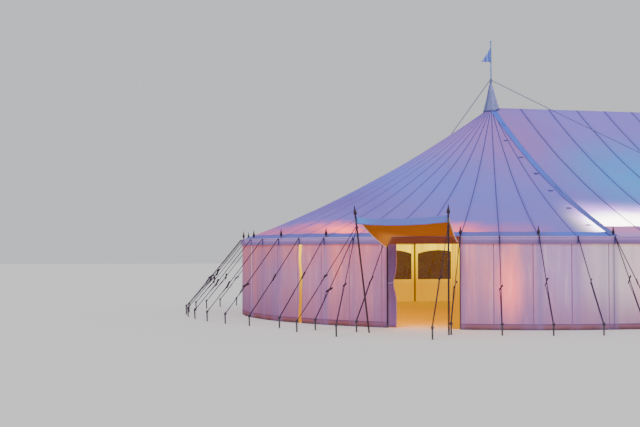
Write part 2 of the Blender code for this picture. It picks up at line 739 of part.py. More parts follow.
side_poles("side_poles_left_front", range(0, DOOR_SEAM, 2))
side_poles("side_poles_left_side", range(DOOR_SEAM + 1, LEFT_SPLIT + 1, 2))
side_poles("side_poles_left_back", range(LEFT_SPLIT + 2, LEFT_END + 1, 2))
side_poles("side_poles_back", range(LEFT_END + 2, RIGHT_START, 2))
side_poles("side_poles_right_back", range(RIGHT_START, RIGHT_SPLIT + 1, 2))
side_poles("side_poles_right_front", range(RIGHT_SPLIT + 2, RIGHT_END + 1, 2))
side_poles("side_poles_front", range(RIGHT_END + 2, SEAMS, 2))

side_guys("guys_left_front", 0, DOOR_SEAM, left_out=(DOOR_SEAM,))
side_guys("guys_left_side", DOOR_SEAM + 1, LEFT_SPLIT + 1)
side_guys("guys_left_back", LEFT_SPLIT + 2, LEFT_END)
side_guys("guys_back", LEFT_END + 1, RIGHT_START - 1)
side_guys("guys_right_back", RIGHT_START, RIGHT_SPLIT + 1)
side_guys("guys_right_front", RIGHT_SPLIT + 2, RIGHT_END)
side_guys("guys_front", RIGHT_END + 1, SEAMS - 1)

wall("wall_left_front", 0, DOOR_SEAM - 1)
wall("wall_left_porch", DOOR_SEAM + 1, SLIT_SEAM, end_gap=SLIT_WIDTH)
wall("wall_left_side", SLIT_SEAM, LEFT_WINDOWS, start_gap=SLIT_WIDTH)
wall("wall_right_side", RIGHT_WINDOWS, RIGHT_WALL_JOIN)
wall("wall_right_front", RIGHT_WALL_JOIN, RIGHT_END)
wall("wall_front", RIGHT_END, SEAMS)
for wall_name, first_seam, last_seam in (("left_back", LEFT_WINDOWS, LEFT_END), ("back", LEFT_END, RIGHT_START),
                                         ("right_back", RIGHT_START, RIGHT_WINDOWS)):
    canvas = wall(f"wall_{wall_name}", first_seam, last_seam)
    combine(canvas, window_cutters(wall_name, first_seam, last_seam), "DIFFERENCE")
    window_sheet(f"window_sheet_{wall_name}", first_seam, last_seam)

door_curtain()
awning_canopy()
add_booleans()
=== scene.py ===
"""Looks of a pole marquee at dusk, built round its packed solids.

The ridge lies along X, the doorway side faces -Y, and places round the eave are given as
seam numbers: seam 0 is where the left round end meets the straight front, and the numbers
run round the left end, along the back, round the right end and back along the front.
"""

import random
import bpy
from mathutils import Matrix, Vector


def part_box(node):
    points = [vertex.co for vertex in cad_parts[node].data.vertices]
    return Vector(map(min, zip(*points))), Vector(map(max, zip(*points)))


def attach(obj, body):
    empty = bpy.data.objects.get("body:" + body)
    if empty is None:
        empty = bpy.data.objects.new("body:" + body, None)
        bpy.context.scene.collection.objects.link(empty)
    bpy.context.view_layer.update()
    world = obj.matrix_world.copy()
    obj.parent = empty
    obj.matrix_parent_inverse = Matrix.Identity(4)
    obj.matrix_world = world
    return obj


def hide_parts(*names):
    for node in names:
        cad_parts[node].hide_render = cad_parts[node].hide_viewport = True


bl_info = {
    "name": "Pole marquee",
    "version": (1, 0, 0),
    "blender": (4, 5, 0),
    "location": "View3D > Sidebar > Marquee",
    "description": "Dresses a packed pole marquee in canvas, rope, wood and clear windows",
    "category": "Add Mesh",
}

from math import atan2, cos, exp, floor, hypot, pi, radians, sin, tan

import bpy
from mathutils import Matrix, Vector, noise

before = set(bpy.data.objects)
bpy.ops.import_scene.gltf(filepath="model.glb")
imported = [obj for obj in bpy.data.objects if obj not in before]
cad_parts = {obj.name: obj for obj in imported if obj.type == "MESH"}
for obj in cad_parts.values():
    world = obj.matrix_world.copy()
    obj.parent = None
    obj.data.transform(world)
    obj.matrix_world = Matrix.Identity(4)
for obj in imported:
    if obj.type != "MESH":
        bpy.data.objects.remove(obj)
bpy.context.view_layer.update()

# Plan and heights, as the solids have them
KING_LOW, KING_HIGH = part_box("king_pole_right")
KING_RADIUS = (KING_HIGH.x - KING_LOW.x) / 2
HALF = ((KING_LOW + KING_HIGH) / 2).x
ROOF_LOW, ROOF_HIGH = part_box("roof_middle")
END_RADIUS = ROOF_HIGH.y
RIDGE_HEIGHT = ROOF_HIGH.z
HEM_HEIGHT = ROOF_LOW.z
WALL_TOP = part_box("wall_front")[1].z
WALL_CREST = WALL_TOP - 0.004
FINIAL_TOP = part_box("side_poles_front")[1].z
MAST_LOW, MAST_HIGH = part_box("flag_mast_left")
BONNET_LOW, BONNET_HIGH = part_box("bonnet_left")
BONNET_RADIUS = (BONNET_HIGH.x - BONNET_LOW.x) / 2
PENNANT_LOW, PENNANT_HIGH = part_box("pennant_left")
COVER_LOW, COVER_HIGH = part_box("lacing_cover_left")
COVER_WIDTH = COVER_HIGH.x - COVER_LOW.x
WINDOW_LAP = 0.06
WINDOW_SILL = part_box("window_sheet_back")[0].z + WINDOW_LAP
WINDOW_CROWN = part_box("window_sheet_back")[1].z - WINDOW_LAP
END_SEAMS = 26
MIDDLE_PANELS = 8
PANEL = 2 * HALF / MIDDLE_PANELS
SEAMS = 2 * (END_SEAMS + MIDDLE_PANELS)
BAY = 2 * END_RADIUS * sin(pi / END_SEAMS / 2)
DOOR_SEAM = 5
POLE_RADIUS = 0.025
POLE_OUT = -0.0656
WALL_OUT = -0.0345
ROPE_OUT = 0.0066
MAST_RADIUS = 0.016
STAKE_HEIGHT = 0.25
MAIN_STAKE_HEIGHT = 0.40
GUY_REACH = 1.57
GUY_SAG = 0.006
MAIN_GUY_REACH = 11.8
MAIN_GUYS = {
    "main_guy_left_front": (-1, -1, 6.3, 0),
    "main_guy_left_back": (-1, 1, -1.8, 1),
    "main_guy_right_front": (1, -1, 1.8, 1),
    "main_guy_right_back": (1, 1, -6.3, 0),
}
WALL_RUNS = {
    "wall_left_front": (0, 4),
    "wall_left_porch": (6, 9),
    "wall_left_side": (9, 20),
    "wall_left_back": (20, 26),
    "wall_back": (26, 34),
    "wall_right_back": (34, 40),
    "wall_right_side": (40, 50),
    "wall_right_front": (50, 60),
    "wall_front": (60, 68),
}
WINDOW_WALLS = ("wall_left_back", "wall_back", "wall_right_back")
POLE_RUNS = {
    "side_poles_left_front": (0, 4),
    "side_poles_left_side": (6, 16),
    "side_poles_left_back": (18, 26),
    "side_poles_back": (28, 32),
    "side_poles_right_back": (34, 46),
    "side_poles_right_front": (48, 60),
    "side_poles_front": (62, 66),
}
GUY_RUNS = {
    "guys_left_front": (0, 5),
    "guys_left_side": (6, 17),
    "guys_left_back": (18, 26),
    "guys_back": (27, 33),
    "guys_right_back": (34, 47),
    "guys_right_front": (48, 60),
    "guys_front": (61, 67),
}
DOUBLE_GUY_SEAMS = (0, END_SEAMS, END_SEAMS + MIDDLE_PANELS, SEAMS - MIDDLE_PANELS)
WALL_GAP = 0.004
SLIT_SEAM = 9
SLIT_HALF = 0.06 / BAY
SEAM_BESIDE = 0.15
SEAM_HALF = 0.011 / BAY
LIT_SEAMS = (12, 14)
WINDOW_ARCH = 0.13
WINDOW_HALF = BAY - 0.12
WINDOW_EDGE = 0.05
AWNING_POLE_RADIUS = 0.021

# Where cloth, film, ropes and rings lie beside the solids' faces, and how thick they are
SEAM_RISE = 0.003
# How dark the painted shade beside the roof's raised seams is
SEAM_SHADE = 0.22
COVER_RISE = 0.0075
EAVE_ROPE_RADIUS = 0.013
WALL_ROPE_RADIUS = 0.006
RING_RADIUS = 0.0035
FILM_OUT = -0.0275
CURTAIN_OUT = -0.058
CURTAIN_WAIST = 1.05
FLAP_OUT = -0.120
SLIT_LAP_OUT = -0.075
LOOP_TURNS = (0.004, 0.015, 0.026)
LOOP_RADIUS = 0.0275
AWNING_SEAT = 0.0167
ENDS = (("left", -1), ("right", 1))
AWNING_SIDES = (("left", 1, radians(7)), ("right", -1, 0.0))
X, Y, UP = Vector((1, 0, 0)), Vector((0, 1, 0)), Vector((0, 0, 1))

# View of the photograph
CAMERA_PLACE = (-15.882, -30.129, 1.783)
CAMERA_TURN = (radians(92.05), radians(0.04), radians(-13.06))
CAMERA_LENS = 60.85


def corner(seam, out=0.0, height=0.0):
    """Point at a whole seam number, moved out from the eave."""
    side, seam = divmod(seam % SEAMS, END_SEAMS + MIDDLE_PANELS)
    sign = 1 if side else -1
    reach = END_RADIUS + out
    turn = pi * min(seam, END_SEAMS) / END_SEAMS
    along = sign * HALF - sign * max(0, seam - END_SEAMS) * PANEL
    return Vector((along + sign * reach * sin(turn), sign * reach * cos(turn), height))


def rim(seam, out=0.0, height=0.0):
    """Point on the eave's polygon at any seam number, also between two seams."""
    whole = floor(seam)
    return corner(whole, out, height).lerp(corner(whole + 1, out, height), seam - whole)


def outward(seam):
    """Level direction that points away from the tent at a seam."""
    return (corner(seam, 1.0) - corner(seam)).normalized()


def under_ridge(spot):
    """Nearest point of the ground under the ridge, which the roof faces away from."""
    return Vector((max(-HALF, min(HALF, spot.x)), 0, 0))


def beside_ridge(spot):
    """Nearest point below the ridge at the same height, which the walls face away from."""
    return under_ridge(spot) + UP * spot.z


def ripple(spot, size, depth):
    """Smooth unevenness of a given size and depth."""
    return depth * noise.noise(spot / size)


def wander(*place):
    """Smooth noise between -1 and 1 at three numbers."""
    return noise.noise(Vector(place))


def seeded(name, number=0):
    """A random source of its own for each piece, the same in every run."""
    return random.Random(f"{name} {number}")


def circle(count):
    """Angles evenly round a circle."""
    return [2 * pi * k / count for k in range(count)]


def loop(middle, first, second, count, wave=lambda turn: 0.0):
    """Points round an oval with two half axes, which may wave up and down."""
    return [middle + first * cos(turn) + second * sin(turn) + UP * wave(turn) for turn in circle(count)]


class Form:
    """Points and faces of one piece, gathered before they become a mesh."""

    def __init__(self):
        self.points, self.shades, self.faces, self.finishes = [], [], [], []

    def point(self, spot, shade=0.0):
        """Add a point, and how much painted shade the cloth has there."""
        self.points.append(tuple(spot))
        self.shades.append(shade)
        return len(self.points) - 1

    def face(self, corners, finish=0):
        """Add a face between points."""
        self.faces.append(tuple(corners))
        self.finishes.append(finish)

    def grid(self, rows, finish=0, round_rows=False, skip=None, capped=False):
        """Faces between rows of places or (place, shade) pairs; finish is a number or a function."""
        pick = finish if callable(finish) else lambda i, j: finish
        rows = [[self.point(*spot) if isinstance(spot, tuple) else self.point(spot) for spot in row]
                for row in rows]
        for i, (row, after) in enumerate(zip(rows, rows[1:])):
            for j in range(len(row) if round_rows else len(row) - 1):
                k = (j + 1) % len(row)
                if not (skip and skip(i, j)):
                    self.face((row[j], row[k], after[k], after[j]), pick(i, j))
        if capped:
            self.face(reversed(rows[0]), pick(0, 0))
            self.face(rows[-1], pick(len(rows) - 2, 0))

    def turned(self, profile, sides, where, finish=0, iron=()):
        """A profile of (radius, height) points turned about Z and put in its place, with rows of iron."""
        rows = [loop(UP * height, X * radius, Y * radius, sides) for radius, height in profile]
        self.grid([[where @ spot for spot in row] for row in rows],
                  lambda i, j: 1 if i in iron else finish, True, capped=True)

    def tube(self, path, radii, sides=8, finish=0, closed=False):
        """A round tube along a path of points, with its ends capped unless the path is closed."""
        if not hasattr(radii, "__len__"):
            radii = [radii] * len(path)
        rows = []
        side = None
        for i, spot in enumerate(path):
            before = path[i - 1] if i or closed else spot
            after = path[(i + 1) % len(path)] if i + 1 < len(path) or closed else spot
            way = (after - before).normalized()
            if side is None:
                side = way.orthogonal().normalized()
            side = (side - way * side.dot(way)).normalized()
            rows.append(loop(spot, side * radii[i], way.cross(side) * radii[i], sides))
        self.grid(rows + rows[:1] if closed else rows, finish, True, capped=not closed)

    def block(self, middle, along, across, up, finish=0, rounding=0.25):
        """A block with softened edges; along, across and up are its half sizes as vectors."""
        rows = []
        for end in (-1, -1 + rounding, 1 - rounding, 1):
            narrow = 1 - rounding * 0.6 if abs(end) == 1 else 1
            row = []
            for turn in circle(8):
                first, second = cos(turn + pi / 8), sin(turn + pi / 8)
                spot = (across * first + up * second) * (narrow / max(abs(first), abs(second)))
                row.append(middle + along * end + spot)
            rows.append(row)
        self.grid(rows, finish, True, capped=True)

    def build(self, name, finishes, node=None, cloth=0.0, lining=None, heart=None, crease=40):
        """Make the piece: its mesh, finishes, thickness, body and the solid that it replaces."""
        mesh = bpy.data.meshes.new(name)
        mesh.from_pydata(self.points, [], self.faces)
        for finish in finishes:
            mesh.materials.append(finish_for(finish))
        mesh.polygons.foreach_set("material_index", self.finishes)
        if any(self.shades):
            mesh.attributes.new("shade", "FLOAT", "POINT").data.foreach_set("value", self.shades)
        if heart and sum((face.center - heart(face.center)).dot(face.normal) * face.area
                         for face in mesh.polygons) < 0:
            mesh.flip_normals()
        mesh.shade_smooth()
        mesh.set_sharp_from_angle(angle=radians(crease))
        mesh.validate()
        piece = bpy.data.objects.new(name, mesh)
        bpy.context.scene.collection.objects.link(piece)
        if cloth:
            thicken = piece.modifiers.new("cloth", "SOLIDIFY")
            thicken.thickness = cloth
            thicken.offset = -1.0
            if lining:
                mesh.materials.append(finish_for(lining))
                thicken.material_offset = len(finishes)
        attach(piece, "root")
        if node:
            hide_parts(node)
        return piece


PREFIX = "marquee_"
BLACK = (0.0, 0.0, 0.0)


class Amount:
    """A shader value; Python's operators on it add Math nodes."""

    def __init__(self, paint, socket):
        self.paint, self.socket = paint, socket

    def __add__(self, other):
        return self.paint.math("ADD", self, other)

    def __radd__(self, other):
        return self.paint.math("ADD", other, self)

    def __sub__(self, other):
        return self.paint.math("SUBTRACT", self, other)

    def __rsub__(self, other):
        return self.paint.math("SUBTRACT", other, self)

    def __mul__(self, other):
        return self.paint.math("MULTIPLY", self, other)

    def __rmul__(self, other):
        return self.paint.math("MULTIPLY", other, self)

    def __pow__(self, other):
        return self.paint.math("POWER", self, other)

    def __abs__(self):
        return self.paint.math("ABSOLUTE", self)


class Paint:
    """One finish: a material and the nodes that it is made of."""

    def __init__(self, name):
        self.material = bpy.data.materials.new(PREFIX + name)
        self.material.use_nodes = True
        self.tree = self.material.node_tree
        self.shader = self.tree.nodes["Principled BSDF"]
        self.place = self.node("ShaderNodeTexCoord").outputs["Object"]
        parts = self.node("ShaderNodeSeparateXYZ", {}, {0: self.place}).outputs
        self.x, self.y, self.height = (Amount(self, part) for part in parts)
        self.aside = abs(self.x)

    def node(self, kind, settings=None, inputs=None):
        """Add a node, put its settings first and then the values or links of its sockets."""
        made = self.tree.nodes.new(kind)
        for name, value in (settings or {}).items():
            setattr(made, name, value)
        for name, value in (inputs or {}).items():
            self.feed(made.inputs[name], value)
        return made

    def feed(self, socket, value):
        """Link a socket, or set its value."""
        value = value.socket if isinstance(value, Amount) else value
        if isinstance(value, bpy.types.NodeSocket):
            self.tree.links.new(value, socket)
        elif hasattr(value, "__len__") and socket.type == "RGBA":
            socket.default_value = (*value[:3], 1.0)
        else:
            socket.default_value = value

    def math(self, operation, *values):
        """One Math node on some values."""
        made = self.node("ShaderNodeMath", {"operation": operation}, dict(enumerate(values)))
        return Amount(self, made.outputs[0])

    def vector(self, operation, *values):
        """The sockets of one Vector Math node on some values."""
        return self.node("ShaderNodeVectorMath", {"operation": operation}, dict(enumerate(values))).outputs

    def noise(self, scale, detail=3.0, roughness=0.55, stretch=None):
        """Soft noise from 0 to 1, with each axis of the place scaled where stretch says so."""
        where = self.vector("MULTIPLY", self.place, stretch)[0] if stretch else self.place
        return Amount(self, self.node("ShaderNodeTexNoise", {}, {
            "Vector": where, "Scale": scale, "Detail": detail, "Roughness": roughness}).outputs[0])

    def shade(self):
        """How much painted shade the cloth has, from the mesh; on the awning, how much paler it is."""
        made = self.node("ShaderNodeAttribute", {"attribute_name": "shade", "attribute_type": "GEOMETRY"})
        return Amount(self, made.outputs["Fac"])

    def span(self, value, low, high):
        """0 below low, 1 above high, and a smooth step between; low may be the larger."""
        return Amount(self, self.node("ShaderNodeMapRange", {"interpolation_type": "SMOOTHSTEP"}, {
            "Value": value, "From Min": low, "From Max": high}).outputs[0])

    def near(self, spot, reach, where=None):
        """1 at a spot, falling to 0 at a distance."""
        return self.span(self.vector("DISTANCE", where or self.place, spot)["Value"], reach, 0.0)

    def patch(self, along, height, reach, squash):
        """1 at a place along the ridge and a height, on all four sides, falling to 0 in an oval."""
        mirrored = self.vector("ABSOLUTE", self.place)[0]
        flat = self.vector("MULTIPLY", mirrored, (1, 0, squash))[0]
        return self.near((along, 0, height * squash), reach, flat)

    def under_awning(self):
        """1 above the doorway, where the awning's shade is painted brown on the valance, seams and eave rope.
        """
        return self.span(self.near(rim(DOOR_SEAM, 0.0, 2.05), 1.3), 0.14, 0.26)

    def blend(self, share, first, second, kind="MIX"):
        """A colour between two others, or the first multiplied by the second as far as the share says."""
        settings = {"data_type": "RGBA", "blend_type": kind}
        return self.node("ShaderNodeMix", settings, {0: share, 6: first, 7: second}).outputs[2]

    def layers(self, tone, *others):
        """Colours laid over each other, each as (share, colour), with its kind where it isn't plain."""
        for share, colour, *kind in others:
            tone = self.blend(share, tone, colour, *kind)
        return tone

    def relief(self, *layers):
        """Bumps laid on each other, as (height, distance) pairs."""
        normal = None
        for height, distance in layers:
            made = self.node("ShaderNodeBump", {}, {"Height": height, "Distance": distance, "Strength": 1.0})
            if normal:
                self.feed(made.inputs["Normal"], normal)
            normal = made.outputs["Normal"]
        self.feed(self.shader.inputs["Normal"], normal)

    def weave(self, threads=900.0):
        """Height of plain woven canvas, with its distance."""
        across = self.math("SINE", (self.x + self.y) * threads)
        down = self.math("SINE", (self.height + self.y * 0.5) * threads)
        return across * down, 0.0002

    def canvas_relief(self, crumple=0.004):
        """Creases, slubs and weave of canvas."""
        self.relief((self.noise(1.6, 4.0, 0.6), crumple * 6), (self.noise(9.0, 5.0, 0.65), crumple),
                    (self.noise(160.0, 2.0), 0.0006), self.weave())

    def finish(self, colour, roughness=0.8, metallic=0.0, glow=None, strength=0.0, specular=0.06):
        """Set the shader's main sockets and give back the material."""
        sockets = self.shader.inputs
        self.feed(sockets["Base Color"], colour)
        self.feed(sockets["Roughness"], roughness)
        sockets["Metallic"].default_value = metallic
        sockets["Specular IOR Level"].default_value = specular
        if glow is not None:
            self.feed(sockets["Emission Color"], glow)
            sockets["Emission Strength"].default_value = strength
        return self.material


def colour(name, description, default):
    """A colour that the user may change."""
    return bpy.props.FloatVectorProperty(name=name, description=description, default=default, size=3,
                                         min=0.0, max=1.0, subtype="COLOR")


def size(name, description, default):
    """A length that the user may change."""
    return bpy.props.FloatProperty(name=name, description=description, default=default, min=0.0,
                                   unit="LENGTH")


def strength(name, description, default):
    """A plain number that the user may change."""
    return bpy.props.FloatProperty(name=name, description=description, default=default, min=0.0,
                                   subtype="FACTOR", soft_max=1.0)


class RoofSettings(bpy.types.PropertyGroup):
    """Sizes and colours of the roof."""

    sag: size("Sag", "How far the canvas sags below a straight slope", 0.325)
    valance: size("Valance", "Height of the valance below the eave", 0.157)
    cloth: size("Canvas", "Thickness of the canvas", 0.003)
    seam: size("Seam width", "Width of the felled seams", 0.025)
    band: size("Eave band", "Width of the doubled canvas along the eave", 0.40)
    middle_band: size("Middle band", "Width of the doubled canvas on the straight eaves", 0.84)
    # The canvas is white: its colours here are painted light, the blue of the dusk and the glow of the lamps
    # inside, and painted shade
    top: colour("Top", "Canvas near the ridge", (0.27, 0.215, 0.79))
    slope: colour("Slope", "Canvas halfway down", (0.195, 0.205, 0.80))
    rose: colour("Rose", "Canvas round the king poles' heads", (0.36, 0.19, 0.62))
    side: colour("Side", "Canvas round the far side of an end", (0.19, 0.12, 0.50))
    low: colour("Low", "Canvas above the eave", (0.24, 0.19, 0.70))
    salmon: colour("Salmon", "Canvas above the eave where lamps show through", (0.86, 0.19, 0.34))
    glow: colour("Glow", "Light that comes through low on the roof", (0.23, 0.018, 0.0))
    lamp: colour("Lamp", "Canvas right before a lamp", (1, 0.92, 0.80))
    fringe: colour("Fringe", "Canvas round a lamp", (0.62, 0.28, 0.80))
    straw: colour("Straw", "The fringe on the ends", (0.58, 0.50, 0.17))
    halo: colour("Halo", "Canvas well above a lamp", (0.075, 0.40, 1))
    band_colour: colour("Band", "Doubled canvas along the round eaves", (0.15, 0.145, 0.54))
    middle_band_colour: colour("Middle band", "Doubled canvas on the straight eaves", (0.76, 0.25, 0.52))
    seam_colour: colour("Seams", "Stitched seams", (0.06, 0.058, 0.21))
    valance_colour: colour("Valance", "Canvas below the eave", (0.29, 0.17, 0.41))
    valance_light: colour("Valance's head", "Canvas right below the eave", (0.52, 0.29, 0.72))
    lining: colour("Lining", "Underside in the light of the lamps", (1, 0.50, 0.0))


class WallSettings(bpy.types.PropertyGroup):
    """Sizes and colours of the walls."""

    fold: size("Folds", "Depth of the folds", 0.011)
    skirt: size("Skirt", "Height of the band at the foot", 0.14)
    cloth: size("Canvas", "Thickness of the canvas", 0.003)
    # The canvas is white: its colours here are painted light, from the dusk and from the lamps inside, and
    # painted shade
    cool: colour("Cool", "Canvas that the lamps don't reach", (0.60, 0.36, 0.70))
    pink: colour("Pink", "Canvas that the lamps reach weakly", (0.78, 0.31, 0.50))
    salmon: colour("Salmon", "Canvas that the lamps reach", (1, 0.30, 0.38))
    bright: colour("Bright", "Canvas right before a lamp", (1, 0.76, 0.84))
    # Painted shade near the ground and in creases
    low: colour("Low", "Canvas near the ground", (0.43, 0.21, 0.40))
    ember: colour("Ember", "Light right before a lamp behind the wall", (1, 0.05, 0.0))
    # Painted shade of the far sides of the ends
    dusk: colour("Dusk", "Tint of the far sides", (0.93, 0.76, 0.72))
    far: colour("Far side", "Further tint at the tips of the ends", (0.72, 0.80, 0.86))
    shadow: colour("Shadow", "Shadow of a pole", (0.24, 0.18, 0.48))
    skirt_colour: colour("Skirt", "Band at the foot", (0.29, 0.125, 0.16))
    seam_colour: colour("Seams", "Stitched seams", (0.21, 0.10, 0.24))
    curtain: colour("Door canvas", "Canvas drawn aside under the awning", (0.46, 0.27, 0.55))
    lit: colour("Lit seam", "Seams that let the light through", (1, 0.52, 0.30))
    lining: colour("Lining", "Inside in the light of the lamps", (1, 0.74, 0.0))
    flap: colour("Flap", "Canvas right before the doorway's lamp", (1, 0.66, 0.0))
    # Painted darkness of the dusk seen through the windows
    clear: colour("Windows", "Clear window sheets", (0.10, 0.05, 0.025))


class TrimSettings(bpy.types.PropertyGroup):
    """Colours of the lacing covers, bonnets and pennants."""

    # The covers and bonnets are white canvas: their blues here are painted dusk light, and the fold colours
    # are painted shade
    cover: colour("Lacing cover", "Flap over a laced joint", (0.10, 0.175, 0.80))
    cover_low: colour("Cover's foot", "The flap near the eave", (0.13, 0.145, 0.52))
    bonnet: colour("Bonnet", "Cone over a king pole's head", (0.36, 0.38, 0.72))
    bonnet_fold: colour("Bonnet's folds", "Shaded folds of the cone", (0.13, 0.15, 0.34))
    bonnet_hem: colour("Bonnet's hem", "Lower edge of the cone", (0.08, 0.085, 0.26))
    pennant: colour("Pennant", "Flags on the masts", (0.24, 0.33, 0.90))
    pennant_fold: colour("Pennant's folds", "Shaded folds of the flags", (0.11, 0.16, 0.55))


class WoodSettings(bpy.types.PropertyGroup):
    """Colours of the poles."""

    dark: colour("Stained wood", "Side poles, finials and awning poles", (0.035, 0.014, 0.024))
    pole: colour("Varnished wood", "King poles", (0.42, 0.2, 0.07))
    mast: colour("Mast", "Flag masts", (0.16, 0.30, 0.85))


class RopeSettings(bpy.types.PropertyGroup):
    """Sizes and colours of the ropes."""

    radius: size("Radius", "Half the thickness of a guy", 0.0105)
    runner: size("Runner", "Length of a wooden runner", 0.20)
    guy: colour("Guys", "Weathered rope of the guys", (0.10, 0.062, 0.13))
    main: colour("Main guys", "Rope from the king poles' heads", (0.20, 0.215, 0.46))
    eave: colour("Eave rope", "Rope sewn along the eave", (0.62, 0.44, 0.88))
    webbing: colour("Webbing", "Straps that take the guys", (0.06, 0.06, 0.2))


class AwningSettings(bpy.types.PropertyGroup):
    """Sizes and colours of the awning."""

    width: size("Width", "Width between the poles", 2.12)
    back_width: size("Back width", "Width at the eave", 1.72)
    depth: size("Depth", "How far the poles stand before the wall", 1.65)
    height: size("Height", "Height of the front corners", 2.53)
    front_sag: size("Front sag", "Sag of the front edge", 0.055)
    side_sag: size("Side sag", "Sag from front to back", 0.08)
    valance: size("Valance", "Height of the front valance", 0.15)
    outside: colour("Outside", "Canvas in the evening light", (0.155, 0.17, 0.60))
    bright: colour("Corner", "Canvas at the corners", (0.12, 0.29, 0.80))
    under: colour("Underside", "Underside in the light of the doorway", (0.45, 0.125, 0.012))
    corner_lift: size("Corner lift", "How far the front corners are pulled up to the finials", 0.045)
    glare: colour("Glare", "Underside by the near jamb", (1, 0.36, 0.05))
    # Painted shade: the brown of the valance, seams and eave rope in the awning's shade
    brown: colour("Above the doorway", "Valance and seams under the awning", (0.34, 0.105, 0.055))
    edge: colour("Edge", "White tape along the edges", (0.78, 0.62, 0.6))


class StageSettings(bpy.types.PropertyGroup):
    """Floor and lights."""

    floor: colour("Floor", "The studio's floor", (0.84, 0.83, 0.84))
    sky: colour("Light", "Soft light from all round", (0.96, 0.97, 1))
    sky_strength: strength("Light", "Strength of the soft light", 0.74)
    key_strength: strength("Key light", "Strength of the main light", 1.65)
    lamp: colour("Lamps", "Lamps inside the tent", (1, 0.24, 0.0))
    lamp_power: bpy.props.FloatProperty(name="Lamps", description="Power of each lamp inside the tent",
                                        default=60.0, min=0.0, unit="POWER")


def times(colour, factor, more=0.0):
    """A plain colour made darker or lighter."""
    return tuple(min(1.0, part * factor + more) for part in colour)


def roof_canvas(paint, roof):
    """White roof canvas at dusk, painted with the dusk's blue light, with painted glow where the lamps inside
    show low down and painted shade beside the seams.
    """
    aside, height, span, patch = paint.aside, paint.height, paint.span, paint.patch
    mottle = paint.noise(0.55, 3.0, 0.5)
    streaks = paint.noise(1.0, 4.0, 0.6, (2.2, 2.2, 0.5))
    spots = paint.math("MAXIMUM", patch(9.25, 2.35, 1.0, 1.5), patch(7.0, 2.35, 1.15, 1.5) * 0.75)
    # Painted light of the lamps showing through above the eave
    warm = span(height + (mottle - 0.5) * 0.3 + (streaks - 0.5) * 0.5, 2.66, 2.32) * span(aside, 4.5, 5.7)
    warm = warm * (spots * 0.62 + streaks * 0.25 + span(aside, 9.4, 10.3) * 0.35 + 0.22)
    tone = paint.layers(roof.top,
                        (span(height + mottle * 0.8, 5.9, 4.3), roof.slope),
                        (patch(4.1, 5.2, 3.0, 1.1) * (mottle + 0.45), roof.rose),
                        (span(aside + mottle, 7.2, 9.8), roof.side),
                        (span(height + mottle * 0.7, 3.9, 2.9) * 0.8, roof.low),
                        # Painted halo of lamp light well above the lamps
                        (patch(0.9, 3.65, 2.9, 1.6) * 0.85, roof.halo),
                        (span(streaks, 0.45, 0.75) * 0.22, roof.rose),
                        (warm, roof.salmon),
                        # Painted shade beside the raised seams
                        (paint.shade() * 0.4, roof.seam_colour),
                        (span(paint.noise(38.0, 4.0, 0.7), 0.62, 0.8) * 0.06, roof.seam_colour))
    wisp = (mottle - 0.5) * 0.25
    lit = span(aside + wisp, 5.1, 3.5) ** 1.7 * span(aside, 0.1, 1.4) * span(height + wisp, 3.32, 2.46)
    edge = paint.blend(span(aside, 3.7, 4.3), roof.fringe, roof.straw)
    lamp = paint.blend(span(lit, 0.62, 0.95), edge, roof.lamp)
    shine = paint.layers(BLACK, (warm * spots ** 2.0, roof.glow), (lit ** 2.8, lamp))
    paint.canvas_relief()
    return paint.finish(tone, 0.78 + (mottle - 0.5) * 0.1, glow=shine, strength=9.0)


def tape(paint, colour, wear, shift=0.25, doorway=None):
    """Stitched doubled canvas, with its stitches and some wear, and painted brown shade under the awning where
    a doorway colour is given.
    """
    stitch = paint.span(paint.math("SINE", (paint.x + paint.y * 0.7 + paint.height * 0.6) * 520.0), 0.5, 0.9)
    worn = paint.span(paint.noise(14.0, 5.0, 0.7), 0.45, 0.75)
    tone = paint.layers(colour, (paint.noise(1.3, 3.0) * shift, wear), (worn * 0.35, wear))
    if doorway:
        # Painted brown shade under the awning
        tone = paint.blend(paint.under_awning(), tone, doorway)
    paint.relief((paint.noise(22.0, 4.0), 0.002), (stitch, 0.0008), paint.weave())
    return paint.finish(tone, 0.82)


def band(paint, colour, foot, glow=None, near_lamp=None):
    """Doubled canvas along the eave, darker towards its foot, with painted lamp light near the lamps and
    painted shade beside the seams.
    """
    mottle = paint.noise(0.9, 4.0, 0.6)
    tone = paint.layers(colour, (paint.span(paint.height + (mottle - 0.5) * 0.06, 2.34, 2.16), foot),
                        (mottle * 0.5, foot))
    # Painted lamp light near the lamps
    if near_lamp:
        tone = paint.blend(paint.span(paint.aside + mottle * 0.6, 5.9, 5.0) * 0.85, tone, near_lamp)
    # Painted shade beside the seams
    tone = paint.blend(paint.shade() * 0.45, tone, (0.05, 0.06, 0.16))
    paint.canvas_relief(0.003)
    if glow is None:
        return paint.finish(tone)
    shine = paint.blend(paint.span(paint.height + (mottle - 0.5) * 0.05, 2.24, 2.38), BLACK, glow)
    return paint.finish(tone, glow=shine, strength=0.05)


def valance_canvas(paint, roof, awning):
    """Canvas that hangs from the eave, darker at its stitched lower hem, with painted shade beside the seams
    and painted brown shade above the doorway, under the awning.
    """
    mottle = paint.noise(2.2, 4.0, 0.6)
    stitch = paint.span(abs(paint.height - (HEM_HEIGHT + 0.028)), 0.004, 0.0)
    tone = paint.layers(roof.valance_colour,
                        (paint.span(paint.height + (mottle - 0.5) * 0.04, 2.03, 2.11), roof.valance_light),
                        (stitch * 0.6, roof.seam_colour),
                        ((mottle - 0.5) * 0.4 + 0.1, roof.seam_colour),
                        # Painted shade beside the seams
                        (paint.shade() * 0.6, roof.seam_colour),
                        # Painted brown shade of the awning above the doorway
                        (paint.under_awning(), awning.brown))
    paint.canvas_relief(0.003)
    return paint.finish(tone)


